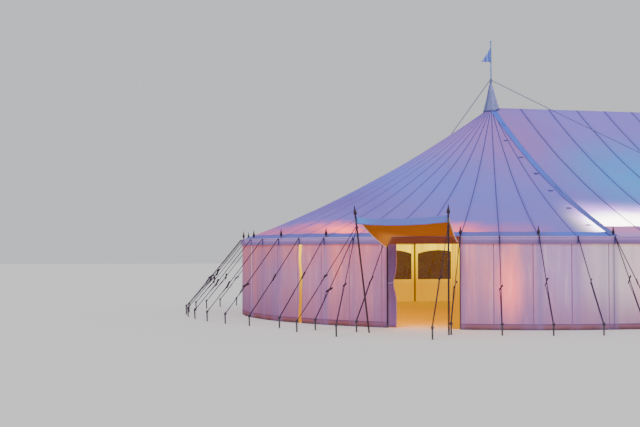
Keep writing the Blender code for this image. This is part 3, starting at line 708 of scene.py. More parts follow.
def lining(paint, colour, strength):
    """Inner side of canvas in the light of the lamps, golden above and more orange near the ground, with
    painted shade in its drapes and where the mesh's shade says.
    """
    mottle = paint.noise(0.7, 4.0, 0.6)
    drape = paint.noise(1.0, 3.0, 0.6, (5.0, 5.0, 0.4))
    foot = (colour[0] * 0.42, colour[1] * 0.26, 0.0)
    hue = paint.layers(colour, (paint.span(paint.height + (mottle - 0.5) * 0.8, 1.95, 0.55), foot),
                       # Painted shade in the drapes and folds
                       (paint.span(drape, 0.42, 0.70) * 0.30, foot),
                       (paint.shade() * 0.75, (colour[0] * 0.40, colour[1] * 0.22, 0.0)))
    near = paint.span(paint.height + (mottle - 0.5) * 1.2, 4.6, 1.6) * 0.8 + 0.2
    paint.canvas_relief()
    shine = paint.blend(near, times(colour, 0.25), hue)
    return paint.finish(paint.blend(0.6, hue, BLACK), 0.85, glow=shine, strength=strength)


def wall_canvas(paint, wall):
    """Wall canvas in soft folds, cool in the dusk and salmon where lamps stand behind it, with painted lamp
    light along its top and in streaks, and painted shade in streaks, near the ground, from the poles and on
    the far sides of the ends.
    """
    aside, height, span, patch = paint.aside, paint.height, paint.span, paint.patch
    broad = paint.noise(0.42, 2.0, 0.5)
    folds = paint.noise(1.0, 3.0, 0.55, (2.4, 2.4, 0.30))
    fine = paint.noise(1.0, 5.0, 0.65, (9.0, 9.0, 1.0))
    tip = span(aside, 6.9, 8.0)
    spot = patch(6.2, 1.05, 0.75, 0.55) + tip * span(height + (folds - 0.5), 1.1, 1.95) * 0.6
    warm = span(folds + (fine - 0.5) * 0.5, 0.45, 0.72) * span(aside, 4.9, 5.9) * 0.80
    warm = paint.math("MINIMUM", warm + spot * (fine * 0.8 + 0.4), 1.0)
    # Painted lamp light along the top of the wall
    lit_crest = span(height + (fine - 0.5) * 0.06, 1.92, 2.02) * span(aside, 3.85, 3.6) * 0.7
    tone = paint.layers(wall.pink,
                        (span(aside + (folds - 0.5) * 1.2, 5.9, 5.0), wall.cool),
                        (span(aside + (folds - 0.5) * 0.8, 4.7, 3.6), wall.bright),
                        (span(broad + folds * 0.5, 0.62, 0.90) * span(aside, 5.6, 6.4) * 0.6, wall.cool),
                        (warm, wall.salmon),
                        # Painted light and shade in streaks along the folds
                        (span(fine, 0.50, 0.74) * 0.38, wall.bright),
                        (span(fine, 0.50, 0.28) * 0.22, wall.low),
                        # Painted shade near the ground
                        (span(height + (folds - 0.5) * 0.5, 1.3, 0.0) * 0.85, wall.low),
                        # Painted shade on the far sides of the ends
                        (tip, wall.dusk, "MULTIPLY"),
                        (span(aside, 9.9, 10.9), wall.far, "MULTIPLY"),
                        # Painted shadows of the poles
                        (paint.shade() * 0.75, wall.shadow),
                        # Painted lamp light along the top
                        (lit_crest, wall.lit))
    ember = patch(6.05, 0.98, 0.42, 0.38) * (fine * 0.9 + 0.4) + patch(2.7, 1.1, 0.7, 0.6) * 0.22
    shine = paint.layers(BLACK, (warm * (1.0 - tip * 0.5) * 0.1, wall.salmon),
                         (paint.math("MINIMUM", ember, 1.0), wall.ember))
    paint.canvas_relief(0.005)
    return paint.finish(tone, glow=shine, strength=1.35)


def skirt_canvas(paint, wall):
    """Band at the foot of the walls below its stitched line, darker in its lowest ten centimetres, with
    patches of painted weak lamp light, painted shadows of the poles and painted shade on the far sides.
    """
    darker_at_ground = paint.span(paint.height + (paint.noise(3.0, 5.0, 0.7) - 0.5) * 0.12, 0.10, 0.0)
    seam = paint.span(paint.height, wall.skirt - 0.034, wall.skirt - 0.026)
    tone = paint.layers(wall.skirt_colour,
                        # Patches of painted weak lamp light
                        (paint.noise(0.5, 3.0) * 0.25, wall.pink),
                        # Darker in the lowest ten centimetres
                        (darker_at_ground * 0.6, (0.05, 0.04, 0.05)),
                        (seam * 0.85, wall.seam_colour),
                        # Painted shade on the far sides and painted shadows of the poles
                        (paint.span(paint.aside, 6.9, 8.0), wall.dusk, "MULTIPLY"),
                        (paint.shade() * 0.6, wall.shadow))
    paint.canvas_relief()
    return paint.finish(tone, 0.85)


def lit_seam(paint, wall):
    """Seam that lets the warm light through."""
    share = paint.span(paint.height + (paint.noise(2.5, 4.0, 0.6) - 0.5) * 0.9, 0.5, 1.6)
    tone, shine = paint.blend(share, wall.pink, wall.lit), paint.blend(share, BLACK, wall.lit)
    paint.canvas_relief(0.003)
    return paint.finish(tone, glow=shine, strength=0.35)


def cover_canvas(paint, trim):
    """Flap over a laced joint, paler near the ridge, with light creases."""
    crease = paint.noise(2.0, 4.0, 0.6)
    low = paint.span(paint.height + (crease - 0.5) * 0.8, 4.6, 2.6)
    tone = paint.layers(trim.cover, (low, trim.cover_low), ((crease - 0.5) * 0.35, trim.bonnet))
    paint.relief((crease, 0.02), (paint.noise(14.0, 4.0), 0.004), paint.weave())
    return paint.finish(tone, 0.78)


def crumpled(paint, colour, dark, scale=3.5, depth=0.35):
    """Pale cloth with creases, with painted shade in the creases and where the mesh's shade says."""
    crease = paint.noise(scale, 5.0, 0.6)
    tone = paint.layers(colour, (paint.span(crease, 0.60, 0.30) * depth, dark), (paint.shade(), dark))
    paint.relief((crease, 0.02), (paint.noise(scale * 7, 4.0), 0.003), paint.weave())
    return paint.finish(tone, 0.75)


def clear_film(paint, wall):
    """Soft clear film tinted dark brown, the painted darkness of the dusk seen through the windows, with
    scuffs and ripples.
    """
    scuff = paint.span(paint.noise(7.0, 5.0, 0.6), 0.5, 0.8)
    paint.relief((paint.noise(1.8, 3.0), 0.02), (paint.noise(30.0, 3.0), 0.0008))
    paint.feed(paint.shader.inputs["Alpha"], 0.84 + scuff * 0.04)
    # Dark brown tint: painted darkness of the dusk seen through the windows
    tone = paint.blend(scuff * 0.06, wall.clear, (0.8, 0.78, 0.74))
    return paint.finish(tone, 0.12 + scuff * 0.2, specular=0.5)


def wood(paint, colour, roughness=0.42, grain=1.0):
    """Turned or planed wood with its grain running up."""
    lines = paint.noise(1.0, 6.0, 0.65, (60.0 * grain, 60.0 * grain, 2.4))
    rings = paint.math("SINE", paint.noise(1.0, 3.0, 0.5, (14.0, 14.0, 0.7)) * 60.0)
    knock = paint.span(paint.noise(34.0, 4.0, 0.7), 0.60, 0.78)
    tone = paint.layers(times(colour, 0.55), (paint.span(lines, 0.3, 0.7), colour),
                        ((rings + 1.0) * 0.12, times(colour, 1.7, 0.02)),
                        (knock * 0.4, times(colour, 1.5, 0.02)))
    paint.relief((lines, 0.0012), (paint.noise(11.0, 3.0), 0.0015))
    paint.shader.inputs["Coat Weight"].default_value = 0.12
    paint.shader.inputs["Coat Roughness"].default_value = 0.3
    return paint.finish(tone, roughness + (lines - 0.5) * 0.2, specular=0.25)


def metal(paint, colour, roughness):
    """Iron or brass with tarnish."""
    tarnish = paint.noise(30.0, 5.0, 0.7)
    paint.relief((tarnish, 0.0008), (paint.noise(120.0, 3.0), 0.0003))
    return paint.finish(paint.blend(paint.span(tarnish, 0.4, 0.7), colour, times(colour, 0.35)),
                        paint.span(tarnish, 0.2, 0.8) * 0.35 + roughness, metallic=0.85)


def laid_rope(paint, colour, strands=700.0, pale=0.45, doorway=None):
    """Twisted rope: strands that wind round it, and loose fibres, with painted brown shade under the awning
    where a doorway colour is given.
    """
    twist = paint.math("SINE", (paint.x + paint.y) * strands + paint.height * strands * 0.8)
    fibre = paint.noise(90.0, 5.0, 0.75)
    tone = paint.layers(times(colour, pale), (paint.span(twist, -0.9, 0.6), colour),
                        (paint.span(fibre, 0.4, 0.8) * 0.45, times(colour, 1.5, 0.03)),
                        (paint.noise(1.4, 3.0) * 0.5, times(colour, 0.3 + 0.7 * pale)))
    if doorway:
        # Painted brown shade under the awning
        tone = paint.blend(paint.under_awning(), tone, doorway)
    paint.relief((twist, 0.0025), (fibre, 0.001))
    return paint.finish(tone, 0.9)


def awning_canvas(paint, awning):
    """Awning canvas, blue in the dusk and paler at its corners."""
    crease = paint.noise(1.0, 4.0, 0.6, (2.0, 2.0, 6.0))
    tone = paint.layers(awning.outside, (paint.shade(), awning.bright), ((crease - 0.5) * 0.4, awning.bright))
    paint.canvas_relief()
    return paint.finish(tone)


def awning_lining(paint, awning):
    """Underside of the awning, orange in the doorway's light and brightest by the near jamb."""
    tone = paint.blend(paint.noise(1.2, 4.0, 0.6), times(awning.under, 0.5), times(awning.under, 0.3))
    shine = paint.blend(paint.near(rim(DOOR_SEAM + 1, 0.15, 2.15), 0.85), awning.under, awning.glare)
    paint.canvas_relief()
    return paint.finish(tone, 0.85, glow=shine, strength=0.48)


def studio_floor(paint, colour):
    """Plain pale studio floor."""
    return paint.finish(paint.blend(paint.noise(0.3, 2.0) * 0.08, colour, times(colour, 0.8)), 0.9)


def settings_of(group):
    """The panel's settings for one kind of piece."""
    return getattr(bpy.context.scene, PREFIX + group)


def finish_for(name):
    """A finish by its name, made the first time that a piece asks for it."""
    made = bpy.data.materials.get(PREFIX + name)
    if made:
        return made
    roof, wall, trim, woods, ropes, awning = (
        settings_of(group) for group in ("roof", "wall", "trim", "wood", "rope", "awning"))
    makers = {
        "roof_canvas": (roof_canvas, roof),
        "roof_seam": (tape, roof.seam_colour, roof.slope, 0.25, awning.brown),
        "eave_band": (band, roof.band_colour, roof.band_colour, None, trim.cover),
        "middle_band": (band, roof.middle_band_colour, roof.valance_light, roof.fringe),
        "valance_canvas": (valance_canvas, roof, awning),
        "roof_lining": (lining, roof.lining, 0.9),
        "wall_canvas": (wall_canvas, wall),
        "wall_seam": (tape, wall.seam_colour, wall.cool),
        "wall_skirt": (skirt_canvas, wall),
        "lit_seam": (lit_seam, wall),
        "wall_lining": (lining, wall.lining, 2.2),
        "door_flap": (lining, wall.flap, 1.9),
        "curtain_canvas": (crumpled, wall.curtain, wall.low, 2.0, 0.5),
        "window_tape": (tape, wall.cool, wall.pink),
        "clear_film": (clear_film, wall),
        "cover_canvas": (cover_canvas, trim),
        "cover_tab": (tape, trim.bonnet_hem, roof.slope),
        "bonnet_canvas": (crumpled, trim.bonnet, trim.bonnet_fold),
        "bonnet_hem": (tape, trim.bonnet_hem, trim.bonnet),
        "pennant_cloth": (crumpled, trim.pennant, trim.pennant_fold, 6.0),
        "stained_wood": (wood, woods.dark),
        "varnished_wood": (wood, woods.pole, 0.35, 0.5),
        "mast_paint": (wood, woods.mast, 0.5, 0.8),
        "iron": (metal, (0.15, 0.14, 0.16), 0.45),
        "brass": (metal, (0.50, 0.34, 0.12), 0.30),
        "guy_rope": (laid_rope, ropes.guy),
        "main_rope": (laid_rope, ropes.main, 700.0, 0.8),
        "eave_rope": (laid_rope, ropes.eave, 500.0, 0.8, awning.brown),
        "webbing": (tape, ropes.webbing, trim.bonnet_hem),
        "awning_canvas": (awning_canvas, awning),
        "awning_lining": (awning_lining, awning),
        "awning_hem": (tape, awning.outside, awning.bright, 0.4),
        "awning_edge": (tape, awning.edge, awning.bright, 0.1),
        "studio_floor": (studio_floor, settings_of("stage").floor),
    }
    maker, *facts = makers[name]
    return maker(Paint(name), *facts)


def eave_height():
    """Height at which the roof turns down into its valance."""
    return HEM_HEIGHT + settings_of("roof").valance


def drop(share):
    """Height of the roof at a share of the way from the ridge to the eave."""
    sag = settings_of("roof").sag
    return RIDGE_HEIGHT - (RIDGE_HEIGHT - eave_height()) * share - 4 * sag * share * (1 - share)


def roof_spot(seam, share, lift=0.0):
    """Point of the roof at a seam number and a share of the way to the eave, raised off the canvas."""
    foot = rim(seam)
    head = under_ridge(foot)
    spot = head.lerp(foot, share)
    spot.z = drop(share)
    if lift:
        fall = (drop(share + 0.001) - drop(share - 0.001)) / (0.002 * END_RADIUS)
        spot += (UP - (foot - head).normalized() * fall).normalized() * lift
    return spot


def canvas_lift(seam, share):
    """How far the stretched canvas leaves its plain shape: scallops, creases at the poles, unevenness."""
    plain = roof_spot(seam, share)
    hollow = -0.010 * sin(pi * (seam - floor(seam))) * share ** 0.7
    toward = exp(-((1 - share) / 0.07) ** 1.2)
    pull = 0.007 * cos(3 * pi * seam) * toward * (0.6 + 0.4 * noise.noise(plain / 0.9))
    uneven = ripple(plain, 1.3, 0.012) + ripple(plain, 0.35, 0.0035)
    return hollow + pull + uneven * min(1.0, share * 3)


def seam_columns(first, last, half):
    """Columns across a run of panels: seam number, metres beside it, and whether it lies on a seam."""
    columns = []
    for seam in range(first, last + 1):
        if seam > first:
            columns += [(seam, -half - 0.005, False), (seam, -half, True)]
        if seam in (first, last):
            columns.append((seam, 0.0, True))
        if seam < last:
            columns += [(seam, half, True), (seam, half + 0.005, False)]
            columns += [(seam + share, 0.0, False) for share in (0.16, 0.33, 0.5, 0.67, 0.84)]
    return columns


def make_roof(name, first, last):
    """One roof sheet with felled seams, eave band and valance; the middle one runs over the ridge."""
    roof = settings_of("roof")
    over = first == END_SEAMS
    turn = (roof.middle_band if over else roof.band) / hypot(END_RADIUS, RIDGE_HEIGHT - HEM_HEIGHT)
    columns = seam_columns(first, last, roof.seam * (0.75 if over else 0.5))
    seed = 5.0 if over else 11.0 + first
    shares = [0.004, 0.03, 0.06, 0.10]
    shares += [0.10 + (1 - turn - 0.006 - 0.10) * (i / 34) ** 0.85 for i in range(1, 35)]
    shares += [1 - turn - 0.002, 1 - turn] + [1 - turn * (1 - i / 4) for i in range(1, 5)]
    valance = [(0.004, -0.003), (0.006, -0.012), (0.003, -0.022), (0.0, -0.035), (0.0, -0.07), (0.0, -0.105),
               (0.0, -0.128), (0.0014, -0.131), (0.0014, -roof.valance)]

    def across(wide, flip, spot):
        """One row of places and shades, where a panel is so wide."""
        row = []
        for seam, beside, raised in columns:
            at = seam + max(-0.24, min(0.24, beside / wide))
            # Painted shade beside each raised seam, on the roof and its valance
            shade = SEAM_SHADE if beside and not raised else 0.0
            row.append((spot(SEAMS + END_SEAMS - at if flip else at, raised), shade))
        return row

    def side(flip):
        """Rows from the ridge down to the hem on one side."""
        rows = []
        for share in shares:
            def spot(at, raised):
                return roof_spot(at, share, canvas_lift(at, share) + SEAM_RISE * raised)
            rows.append(across(PANEL if over else BAY * share, flip, spot))
        for out, down in valance:
            def spot(at, raised):
                swing = 0.008 * wander(at * 1.7, seed, down * 3) + 0.005 * sin(at * 2 * pi)
                swing += 0.003 * wander(at * 7.0, seed, down * 5)
                swing *= min(1.0, -down / roof.valance)
                return rim(at, out + swing + 0.001 * raised, eave_height() + down)
            rows.append(across(PANEL if over else BAY, flip, spot))
        return rows

    def finish(i, j):
        down = abs(i - len(shares) - len(valance) + 1) - 1 if over else i
        if columns[j][2] and columns[j + 1][2]:
            return 1
        return 3 if down >= len(shares) - 1 else 2 if down >= len(shares) - 5 else 0

    form = Form()
    form.grid(side(True)[::-1] + side(False) if over else side(False), finish)
    finishes = ["roof_canvas", "roof_seam", "middle_band" if over else "eave_band", "valance_canvas"]
    piece = form.build(name + "_cloth", finishes, name, roof.cloth, "roof_lining",
                       under_ridge, 50)


# Each tab's share of the way to the eave, and its metres from the laced joint
TAB_PLACES = ((0.235, 0.272), (0.360, 0.237), (0.481, 0.192), (0.614, 0.244), (0.755, 0.251), (0.898, 0.273))


def make_cover(name, side):
    """Flap over a laced joint, with curled edges and its row of tabs."""
    form = Form()
    shares = [1.0 - 0.0006 - i * (1.0 - 0.012) / 90 for i in range(91)]
    offsets = (-1.0, -0.93, -0.6, -0.25, 0.0, 0.25, 0.6, 0.93, 1.0)
    rows = []
    for front, share in [(-1, share) for share in shares] + [(1, share) for share in reversed(shares)]:
        row = []
        for offset in offsets:
            x, y = side * HALF + offset * COVER_WIDTH / 2, front * share * END_RADIUS
            rise = COVER_RISE + 0.004 * wander(x * 4 + side, y * 1.6, 3)
            rise += 0.0035 * abs(offset) ** 6 * (1 + wander(y * 2.5, offset, side))
            rise += 0.003 if abs(offset) > 0.92 else 0.0
            rise += 0.013 * min(1.0, max(0.0, share - 0.70) / 0.18)
            reach = hypot(max(0.0, abs(x) - HALF), y) / END_RADIUS
            row.append(Vector((x, y, drop(min(reach, 1.0)) + rise)))
        rows.append(row)
    form.grid(rows, lambda i, j: 1 if j in (0, 7) else 0)
    piece = form.build(name + "_cloth", ["cover_canvas", "bonnet_hem"], name, 0.0025,
                       heart=under_ridge, crease=60)

    tabs = Form()
    for front in (-1, 1):
        for share, beside in TAB_PLACES:
            flat = Vector((side * beside, front * share * END_RADIUS, 0))
            reach = flat.length / END_RADIUS
            fall = (drop(reach + 0.002) - drop(reach)) / (0.002 * END_RADIUS)
            up = (UP - flat.normalized() * fall).normalized()
            along = (X - up * X.dot(up)).normalized()
            across = up.cross(along)
            middle = X * side * HALF + flat + UP * drop(reach) + up * 0.008
            tabs.block(middle, along * 0.062, across * (0.020 + 0.022 * share), up * 0.005)
            eyelet = middle - along * side * 0.018 + up * 0.004
            tabs.block(eyelet, along * 0.010, across * 0.018, up * 0.0025, 1)
            strap = [middle - along * side * (0.06 + 0.025 * i) + up * (0.002 + 0.0006 * i) for i in range(4)]
            tabs.tube(strap, 0.003, 6)
    tabs.build(name + "_tabs", ["cover_tab", "brass"])


def make_bonnet(name, side):
    """Crumpled cone of canvas over a king pole's head, with its hem and the tie at its neck."""
    form = Form()
    sides, steps = 96, 22
    top = BONNET_HIGH.z - 0.03
    rows = []
    for up in (i / steps for i in range(steps + 1)):
        row = []
        for turn in circle(sides):
            folds = 0.50 * sin(turn * 7 + side + 1.3 * up) + 0.22 * sin(turn * 12 + 2.0 - 2.2 * up)
            folds += 0.45 * wander(cos(turn) * 1.6, sin(turn) * 1.6, up * 2.0 + side * 4)
            depth = 0.030 * (1 - up) ** 0.6 * min(1.0, up * 8 + 0.25) + 0.004
            reach = BONNET_RADIUS + (0.030 - BONNET_RADIUS) * up ** 0.92 + depth * (folds - 0.85)
            x, y = reach * cos(turn), reach * sin(turn)
            base = drop(hypot(max(0.0, x * side), y) / END_RADIUS) + 0.016
            z = base + (top - base) * up + 0.012 * wander(x * 8, y * 8, up * 4) * min(1, up * 6)
            # Painted shade in the folds and on the cone's side towards -X
            dark = min(1.0, max(0.0, -folds) * 0.30 + max(0.0, 0.15 - 0.75 * cos(turn)))
            row.append((Vector((side * HALF + x, y, z)), dark))
        rows.append(row)
    form.grid(rows, lambda i, j: 1 if i == 0 else 0, True)
    collar = []
    for radius, height in ((0.026, -0.03), (0.024, -0.015), (0.028, 0.0), (0.036, 0.012), (0.030, 0.022)):
        middle = Vector((side * HALF, 0, BONNET_HIGH.z + height - 0.022))
        frill = 0.12 * max(0.0, height) / 0.02
        ring = []
        for turn in circle(sides):
            reach = radius * (1 + frill * sin(turn * 11 + side))
            ring.append(middle + Vector((cos(turn), sin(turn), 0)) * reach)
        collar.append(ring)
    form.grid(collar, 0, True)
    piece = form.build(name + "_cloth", ["bonnet_canvas", "bonnet_hem"], name, 0.002,
                       heart=lambda spot: Vector((side * HALF, 0, spot.z - 0.2)), crease=70)

    ties = Form()
    for number, height in enumerate((-0.042, -0.034, -0.026)):
        middle = Vector((side * HALF, 0, BONNET_HIGH.z + height))
        path = loop(middle, X * 0.033, Y * 0.033, 28, lambda turn: 0.002 * sin(turn * 2 + number))
        ties.tube(path, 0.0042, closed=True)
    ties.build(name + "_tie", ["guy_rope"])


def make_pennant(name, side):
    """Limp triangular flag that hangs in folds from its mast down to its fly."""
    form = Form()
    hoist = PENNANT_HIGH.z - PENNANT_LOW.z
    width = PENNANT_HIGH.x - PENNANT_LOW.x
    rows = []
    for u in (i / 56 for i in range(57)):
        row = []
        free = min(1.0, u * 4)
        high = PENNANT_HIGH.z - 0.006 - (hoist - 0.035) * u ** 0.9
        low = PENNANT_LOW.z + 0.010 + 0.012 * sin(u * 7) * u * (1 - u)
        for v in (j / 16 for j in range(17)):
            turn = u * 4.6 * pi + v * 1.1 + side
            fold = sin(turn) * 0.046 * free * (1 - 0.35 * u) + 0.006 * sin(v * 7 + u * 5) * u
            out = (width - 0.008) * u + 0.008 * cos(turn) * free * (1 - u)
            x = side * HALF - MAST_RADIUS - 0.001 - max(0.0, out)
            # Painted shade in the folds
            row.append((Vector((x, fold, high + (low - high) * v)), max(0.0, sin(turn)) * 0.7))
        rows.append(row)
    form.grid(rows, lambda i, j: 1 if i < 2 else 0)
    piece = form.build(name + "_cloth", ["pennant_cloth", "bonnet_hem"], name, 0.0015,
                       crease=80)


def make_mast(name, side):
    """Painted mast with its ball, sheave and halyard."""
    form = Form()
    low, high, neck = MAST_LOW.z, MAST_HIGH.z, BONNET_HIGH.z
    r = MAST_RADIUS
    ball = 0.032
    profile = [(r * 0.9, low), (r, low + 0.01), (r, low + 0.5), (r * 1.25, low + 0.51),
               (r * 1.25, low + 0.54), (r, low + 0.55), (r * 0.96, low + 1.1), (r * 0.9, high - 0.075),
               (r * 1.35, high - 0.07), (r * 1.35, high - 0.062), (r * 0.9, high - 0.060)]
    profile += [(ball * sin(pi * k / 12), high - ball - ball * cos(pi * k / 12)) for k in range(3, 12)]
    profile.append((0.002, high))
    form.turned(profile, 20, Matrix.Translation((side * HALF, 0, 0)), iron=(2, 3, 4))
    form.tube([Vector((side * HALF + 0.020 + 0.003 * sin(k * 0.9), 0.004 * cos(k),
                       neck + 0.05 + (high - 0.14 - neck) * k / 14)) for k in range(15)], 0.0028, 6, 2)
    for height in (neck + 0.30, PENNANT_LOW.z + 0.01, PENNANT_HIGH.z - 0.01):
        form.tube(loop(Vector((side * HALF, 0, height)), X * 0.0205, Y * 0.0205, 14), 0.0030, 6, 2, True)
    form.build(name + "_dressed", ["mast_paint", "iron", "guy_rope"], name, crease=45)


def make_king_pole(name, side):
    """Main pole with iron bands, a foot plate and its spike."""
    form = Form()
    r = KING_RADIUS
    head = drop(r / END_RADIUS) - 0.012
    profile = [(r, 0.0), (r, 0.05), (r * 0.97, 0.055), (r * 0.97, 0.13), (r, 0.135), (r, 0.14),
               (r * 0.93, 0.15), (r * 0.96, 1.2), (r * 0.98, 2.5), (r, 2.98), (r, 3.06), (r * 0.98, 3.07),
               (r * 0.95, 4.6), (r * 0.90, head - 0.16), (r * 0.98, head - 0.15), (r * 0.98, head - 0.05),
               (r * 0.9, head - 0.045), (r * 0.85, head - 0.004), (0.022, head),
               (0.022, RIDGE_HEIGHT + 0.10), (0.018, RIDGE_HEIGHT + 0.14)]
    form.turned(profile, 32, Matrix.Translation((side * HALF, 0, 0)),
                iron=(0, 1, 2, 3, 4, 9, 10, 13, 14, 15, 17, 18, 19, 20))
    form.build(name + "_dressed", ["varnished_wood", "iron"], name, crease=35)


def finial_profile(foot, height, radius):
    """Turned finial: a bead, a bulb and a point, as (radius, height) pairs."""
    shape = [(0.30, 0.0), (0.62, 0.015), (0.66, 0.045), (0.40, 0.075), (0.34, 0.11), (0.55, 0.15),
             (0.86, 0.21), (1.0, 0.29), (0.97, 0.37), (0.82, 0.46), (0.62, 0.55), (0.45, 0.66),
             (0.32, 0.78), (0.22, 0.88), (0.12, 0.96), (0.03, 1.0)]
    return [(radius * wide, foot + height * up) for wide, up in shape]


def make_side_poles(name, first, last):
    """A run of side poles with turned finials, ferrules and eyelet rings, and the rope for the wall."""
    form = Form()
    r = POLE_RADIUS
    roof = drop((END_RADIUS + POLE_OUT) / END_RADIUS)
    top = drop((END_RADIUS + POLE_OUT + r) / END_RADIUS) - 0.011
    foot = roof + 0.016
    rope = top - 0.07
    profile = [(r * 0.92, 0.0), (r, 0.01), (r, 0.09), (r * 0.95, 0.095), (r * 0.97, 1.0),
               (r * 0.95, top - 0.14), (r, top - 0.135), (r, top - 0.02), (r * 0.9, top),
               (0.009, top + 0.001), (0.009, foot)]
    eyelet = [(0.010, -0.001), (0.024, -0.001), (0.027, 0.002), (0.024, 0.006), (0.014, 0.006),
              (0.010, 0.003)]
    for seam in range(first, last + 1, 2):
        spin = seeded("pole", seam).uniform(0, pi)
        place = Matrix.Translation(rim(seam, POLE_OUT)) @ Matrix.Rotation(spin, 4, "Z")
        form.turned(profile, 14, place, iron=(0, 1, 2, 6, 7, 8, 9))
        form.turned(finial_profile(foot, FINIAL_TOP - foot, 0.035), 18, place)
        turn = Matrix.Rotation(atan2(outward(seam).y, outward(seam).x), 4, "Z")
        tilt = Matrix.Rotation(atan2(roof - drop(1.0), -POLE_OUT), 4, "Y")
        form.turned(eyelet, 18, Matrix.Translation(rim(seam, POLE_OUT, roof + 0.006)) @ turn @ tilt, 2)
    line = []
    for at in (first + k / 4 for k in range(4 * (last - first) + 1)):
        line.append(rim(at, POLE_OUT, rope - 0.012 * sin(pi * ((at - first) / 2 % 1.0)) ** 2))
    form.tube(line, WALL_ROPE_RADIUS, 8, 3)
    for seam in range(first, last + 1, 2):
        for turn in (-0.014, 0.0, 0.014):
            middle = rim(seam, POLE_OUT, rope + turn)
            form.tube(loop(middle, X * (r + 0.004), Y * (r + 0.004) + UP * 0.002, 16), 0.005, 6, 3, True)
    form.build(name + "_dressed", ["stained_wood", "iron", "brass", "guy_rope"], name,
               crease=35)


def put_guy(form, start, head, source, radius, runner_length, rope=0, stake=0.020):
    """A guy down to its stake: rope, runner, doubled strand and bight; rope is its first finish."""
    way = (head - start).normalized()
    side = way.cross(UP).normalized()
    up = side.cross(way).normalized()
    sag = GUY_SAG * (head - start).length

    def hang(share):
        """Point of the sagging rope."""
        return start.lerp(head, share) - UP * (sag * 4 * share * (1 - share))

    form.tube([hang(k / 14) for k in range(15)], radius, 8, rope)
    runner = hang(source.uniform(0.46, 0.66))
    along = (way * 0.84 + up * 0.34 * source.choice((-1, 1)) + side * 0.38).normalized()
    across = along.cross(side).normalized()
    form.block(runner, along * runner_length / 2, across * 0.023, along.cross(across) * 0.012, rope + 1, 0.3)
    double = [runner + along * runner_length * 0.4, runner.lerp(head, 0.35) + side * 0.016 - up * 0.008,
              runner.lerp(head, 0.75) + side * 0.014 - up * 0.004, head - way * 0.035 + side * 0.012]
    form.tube(double, radius * 0.85, 6, rope)
    knot = loop(runner - along * runner_length * 0.38, way * 0.012, side * 0.016, 8)
    form.tube(knot, radius * 0.8, 6, rope, True)
    lean = Vector((way.x, way.y, 0)).normalized()
    foot = Vector((head.x, head.y, 0))
    top = head + UP * 0.035 + lean * 0.01
    form.tube([foot, foot.lerp(top, 0.5), top - UP * 0.03, top - UP * 0.012, top],
              [stake * wide for wide in (0.9, 0.95, 1, 1.15, 0.9)], 12, rope + 2)
    reach = stake + radius * 0.9
    bight = loop(head - UP * 0.01, X * reach - UP * 0.012 * lean.x, Y * reach - UP * 0.012 * lean.y, 12)
    form.tube(bight, radius * 0.9, 6, rope, True)


def make_guys(name, first, last):
    """The rope sewn along the eave with its straps, and the guys down to their stakes."""
    form = Form()
    ropes = settings_of("rope")
    height = eave_height() + ROPE_OUT
    low = HEM_HEIGHT - 0.004
    count = (last + 1 - first) * 6
    form.tube([rim(first - 0.5 + k / 6, ROPE_OUT, height) for k in range(count + 1)], EAVE_ROPE_RADIUS, 10)
    for seam in range(first, last + 1):
        if seam == DOOR_SEAM:
            continue
        source = seeded("guy", seam)
        way = outward(seam)
        side = Vector((-way.y, way.x, 0))
        hold = rim(seam, ROPE_OUT, height)
        for aside in (-0.16, 0.16) if seam in DOUBLE_GUY_SEAMS else (0.0,):
            head = corner(seam, GUY_REACH, STAKE_HEIGHT) + side * aside
            put_guy(form, hold + way * 0.012, head, source, ropes.radius, ropes.runner, 1)
        strap = [hold + way * 0.008 + UP * 0.012, hold + way * 0.013, hold + way * 0.010 - UP * 0.03]
        for k in range(4):
            strap.append(rim(seam, ROPE_OUT, low + (eave_height() - 0.04 - low) * (1 - k / 3)) + way * 0.010)
        for before, after in zip(strap, strap[1:]):
            form.block((before + after) / 2, (after - before) * 0.55, side * 0.013, way * 0.0022, 4, 0.2)
        form.tube(loop(hold + way * 0.014, side * 0.017, UP * 0.017, 14), RING_RADIUS, 6, 3, True)
    form.build(name + "_dressed", ["eave_rope", "guy_rope", "stained_wood", "iron", "webbing"], name,
               crease=45)


def make_main_guy(name, side, end, lean, level):
    """Guy from a king pole's head down to a large stake."""
    form = Form()
    neck = Vector((side * HALF, 0, BONNET_HIGH.z + 0.01 + level * 0.0303))
    start = neck + UP * 0.015
    head = Vector((side * HALF + lean, end * MAIN_GUY_REACH, MAIN_STAKE_HEIGHT))
    way = Vector((head.x - start.x, head.y - start.y, 0)).normalized()
    put_guy(form, start + way * 0.022, head, seeded(name), 0.011, 0.30, stake=0.030)
    for turn in LOOP_TURNS:
        form.tube(loop(neck + UP * turn, X * 0.024, Y * 0.024, 16), 0.0058, 6, 0, True)
    form.build(name + "_dressed", ["main_rope", "stained_wood", "iron"], name, crease=45)


def from_pole(at):
    """Metres from the nearest side pole."""
    return (at / 2 - round(at / 2)) * 2 * BAY


def pole_shadow(at):
    """Painted shadow of a side pole on the wall, and a little painted shade at the seams between the poles."""
    pole = exp(-(from_pole(at) / 0.085) ** 2)
    broad = exp(-(from_pole(at - 0.28) / 0.16) ** 2)
    between = exp(-((at - round(at)) * BAY / 0.06) ** 2)
    return max(0.75 * pole, 0.42 * broad, 0.38 * between)


def swag(at, height):
    """Shallow arcs of cloth that hang between two poles near the top of the wall."""
    across = (at / 2 - floor(at / 2)) * 2 - 1
    depth = WALL_TOP - height - 0.22 * (1 - across * across)
    return 0.0032 * sin(depth * 34) * exp(-((WALL_TOP - height) / 0.42) ** 2) * (1 - across ** 4)


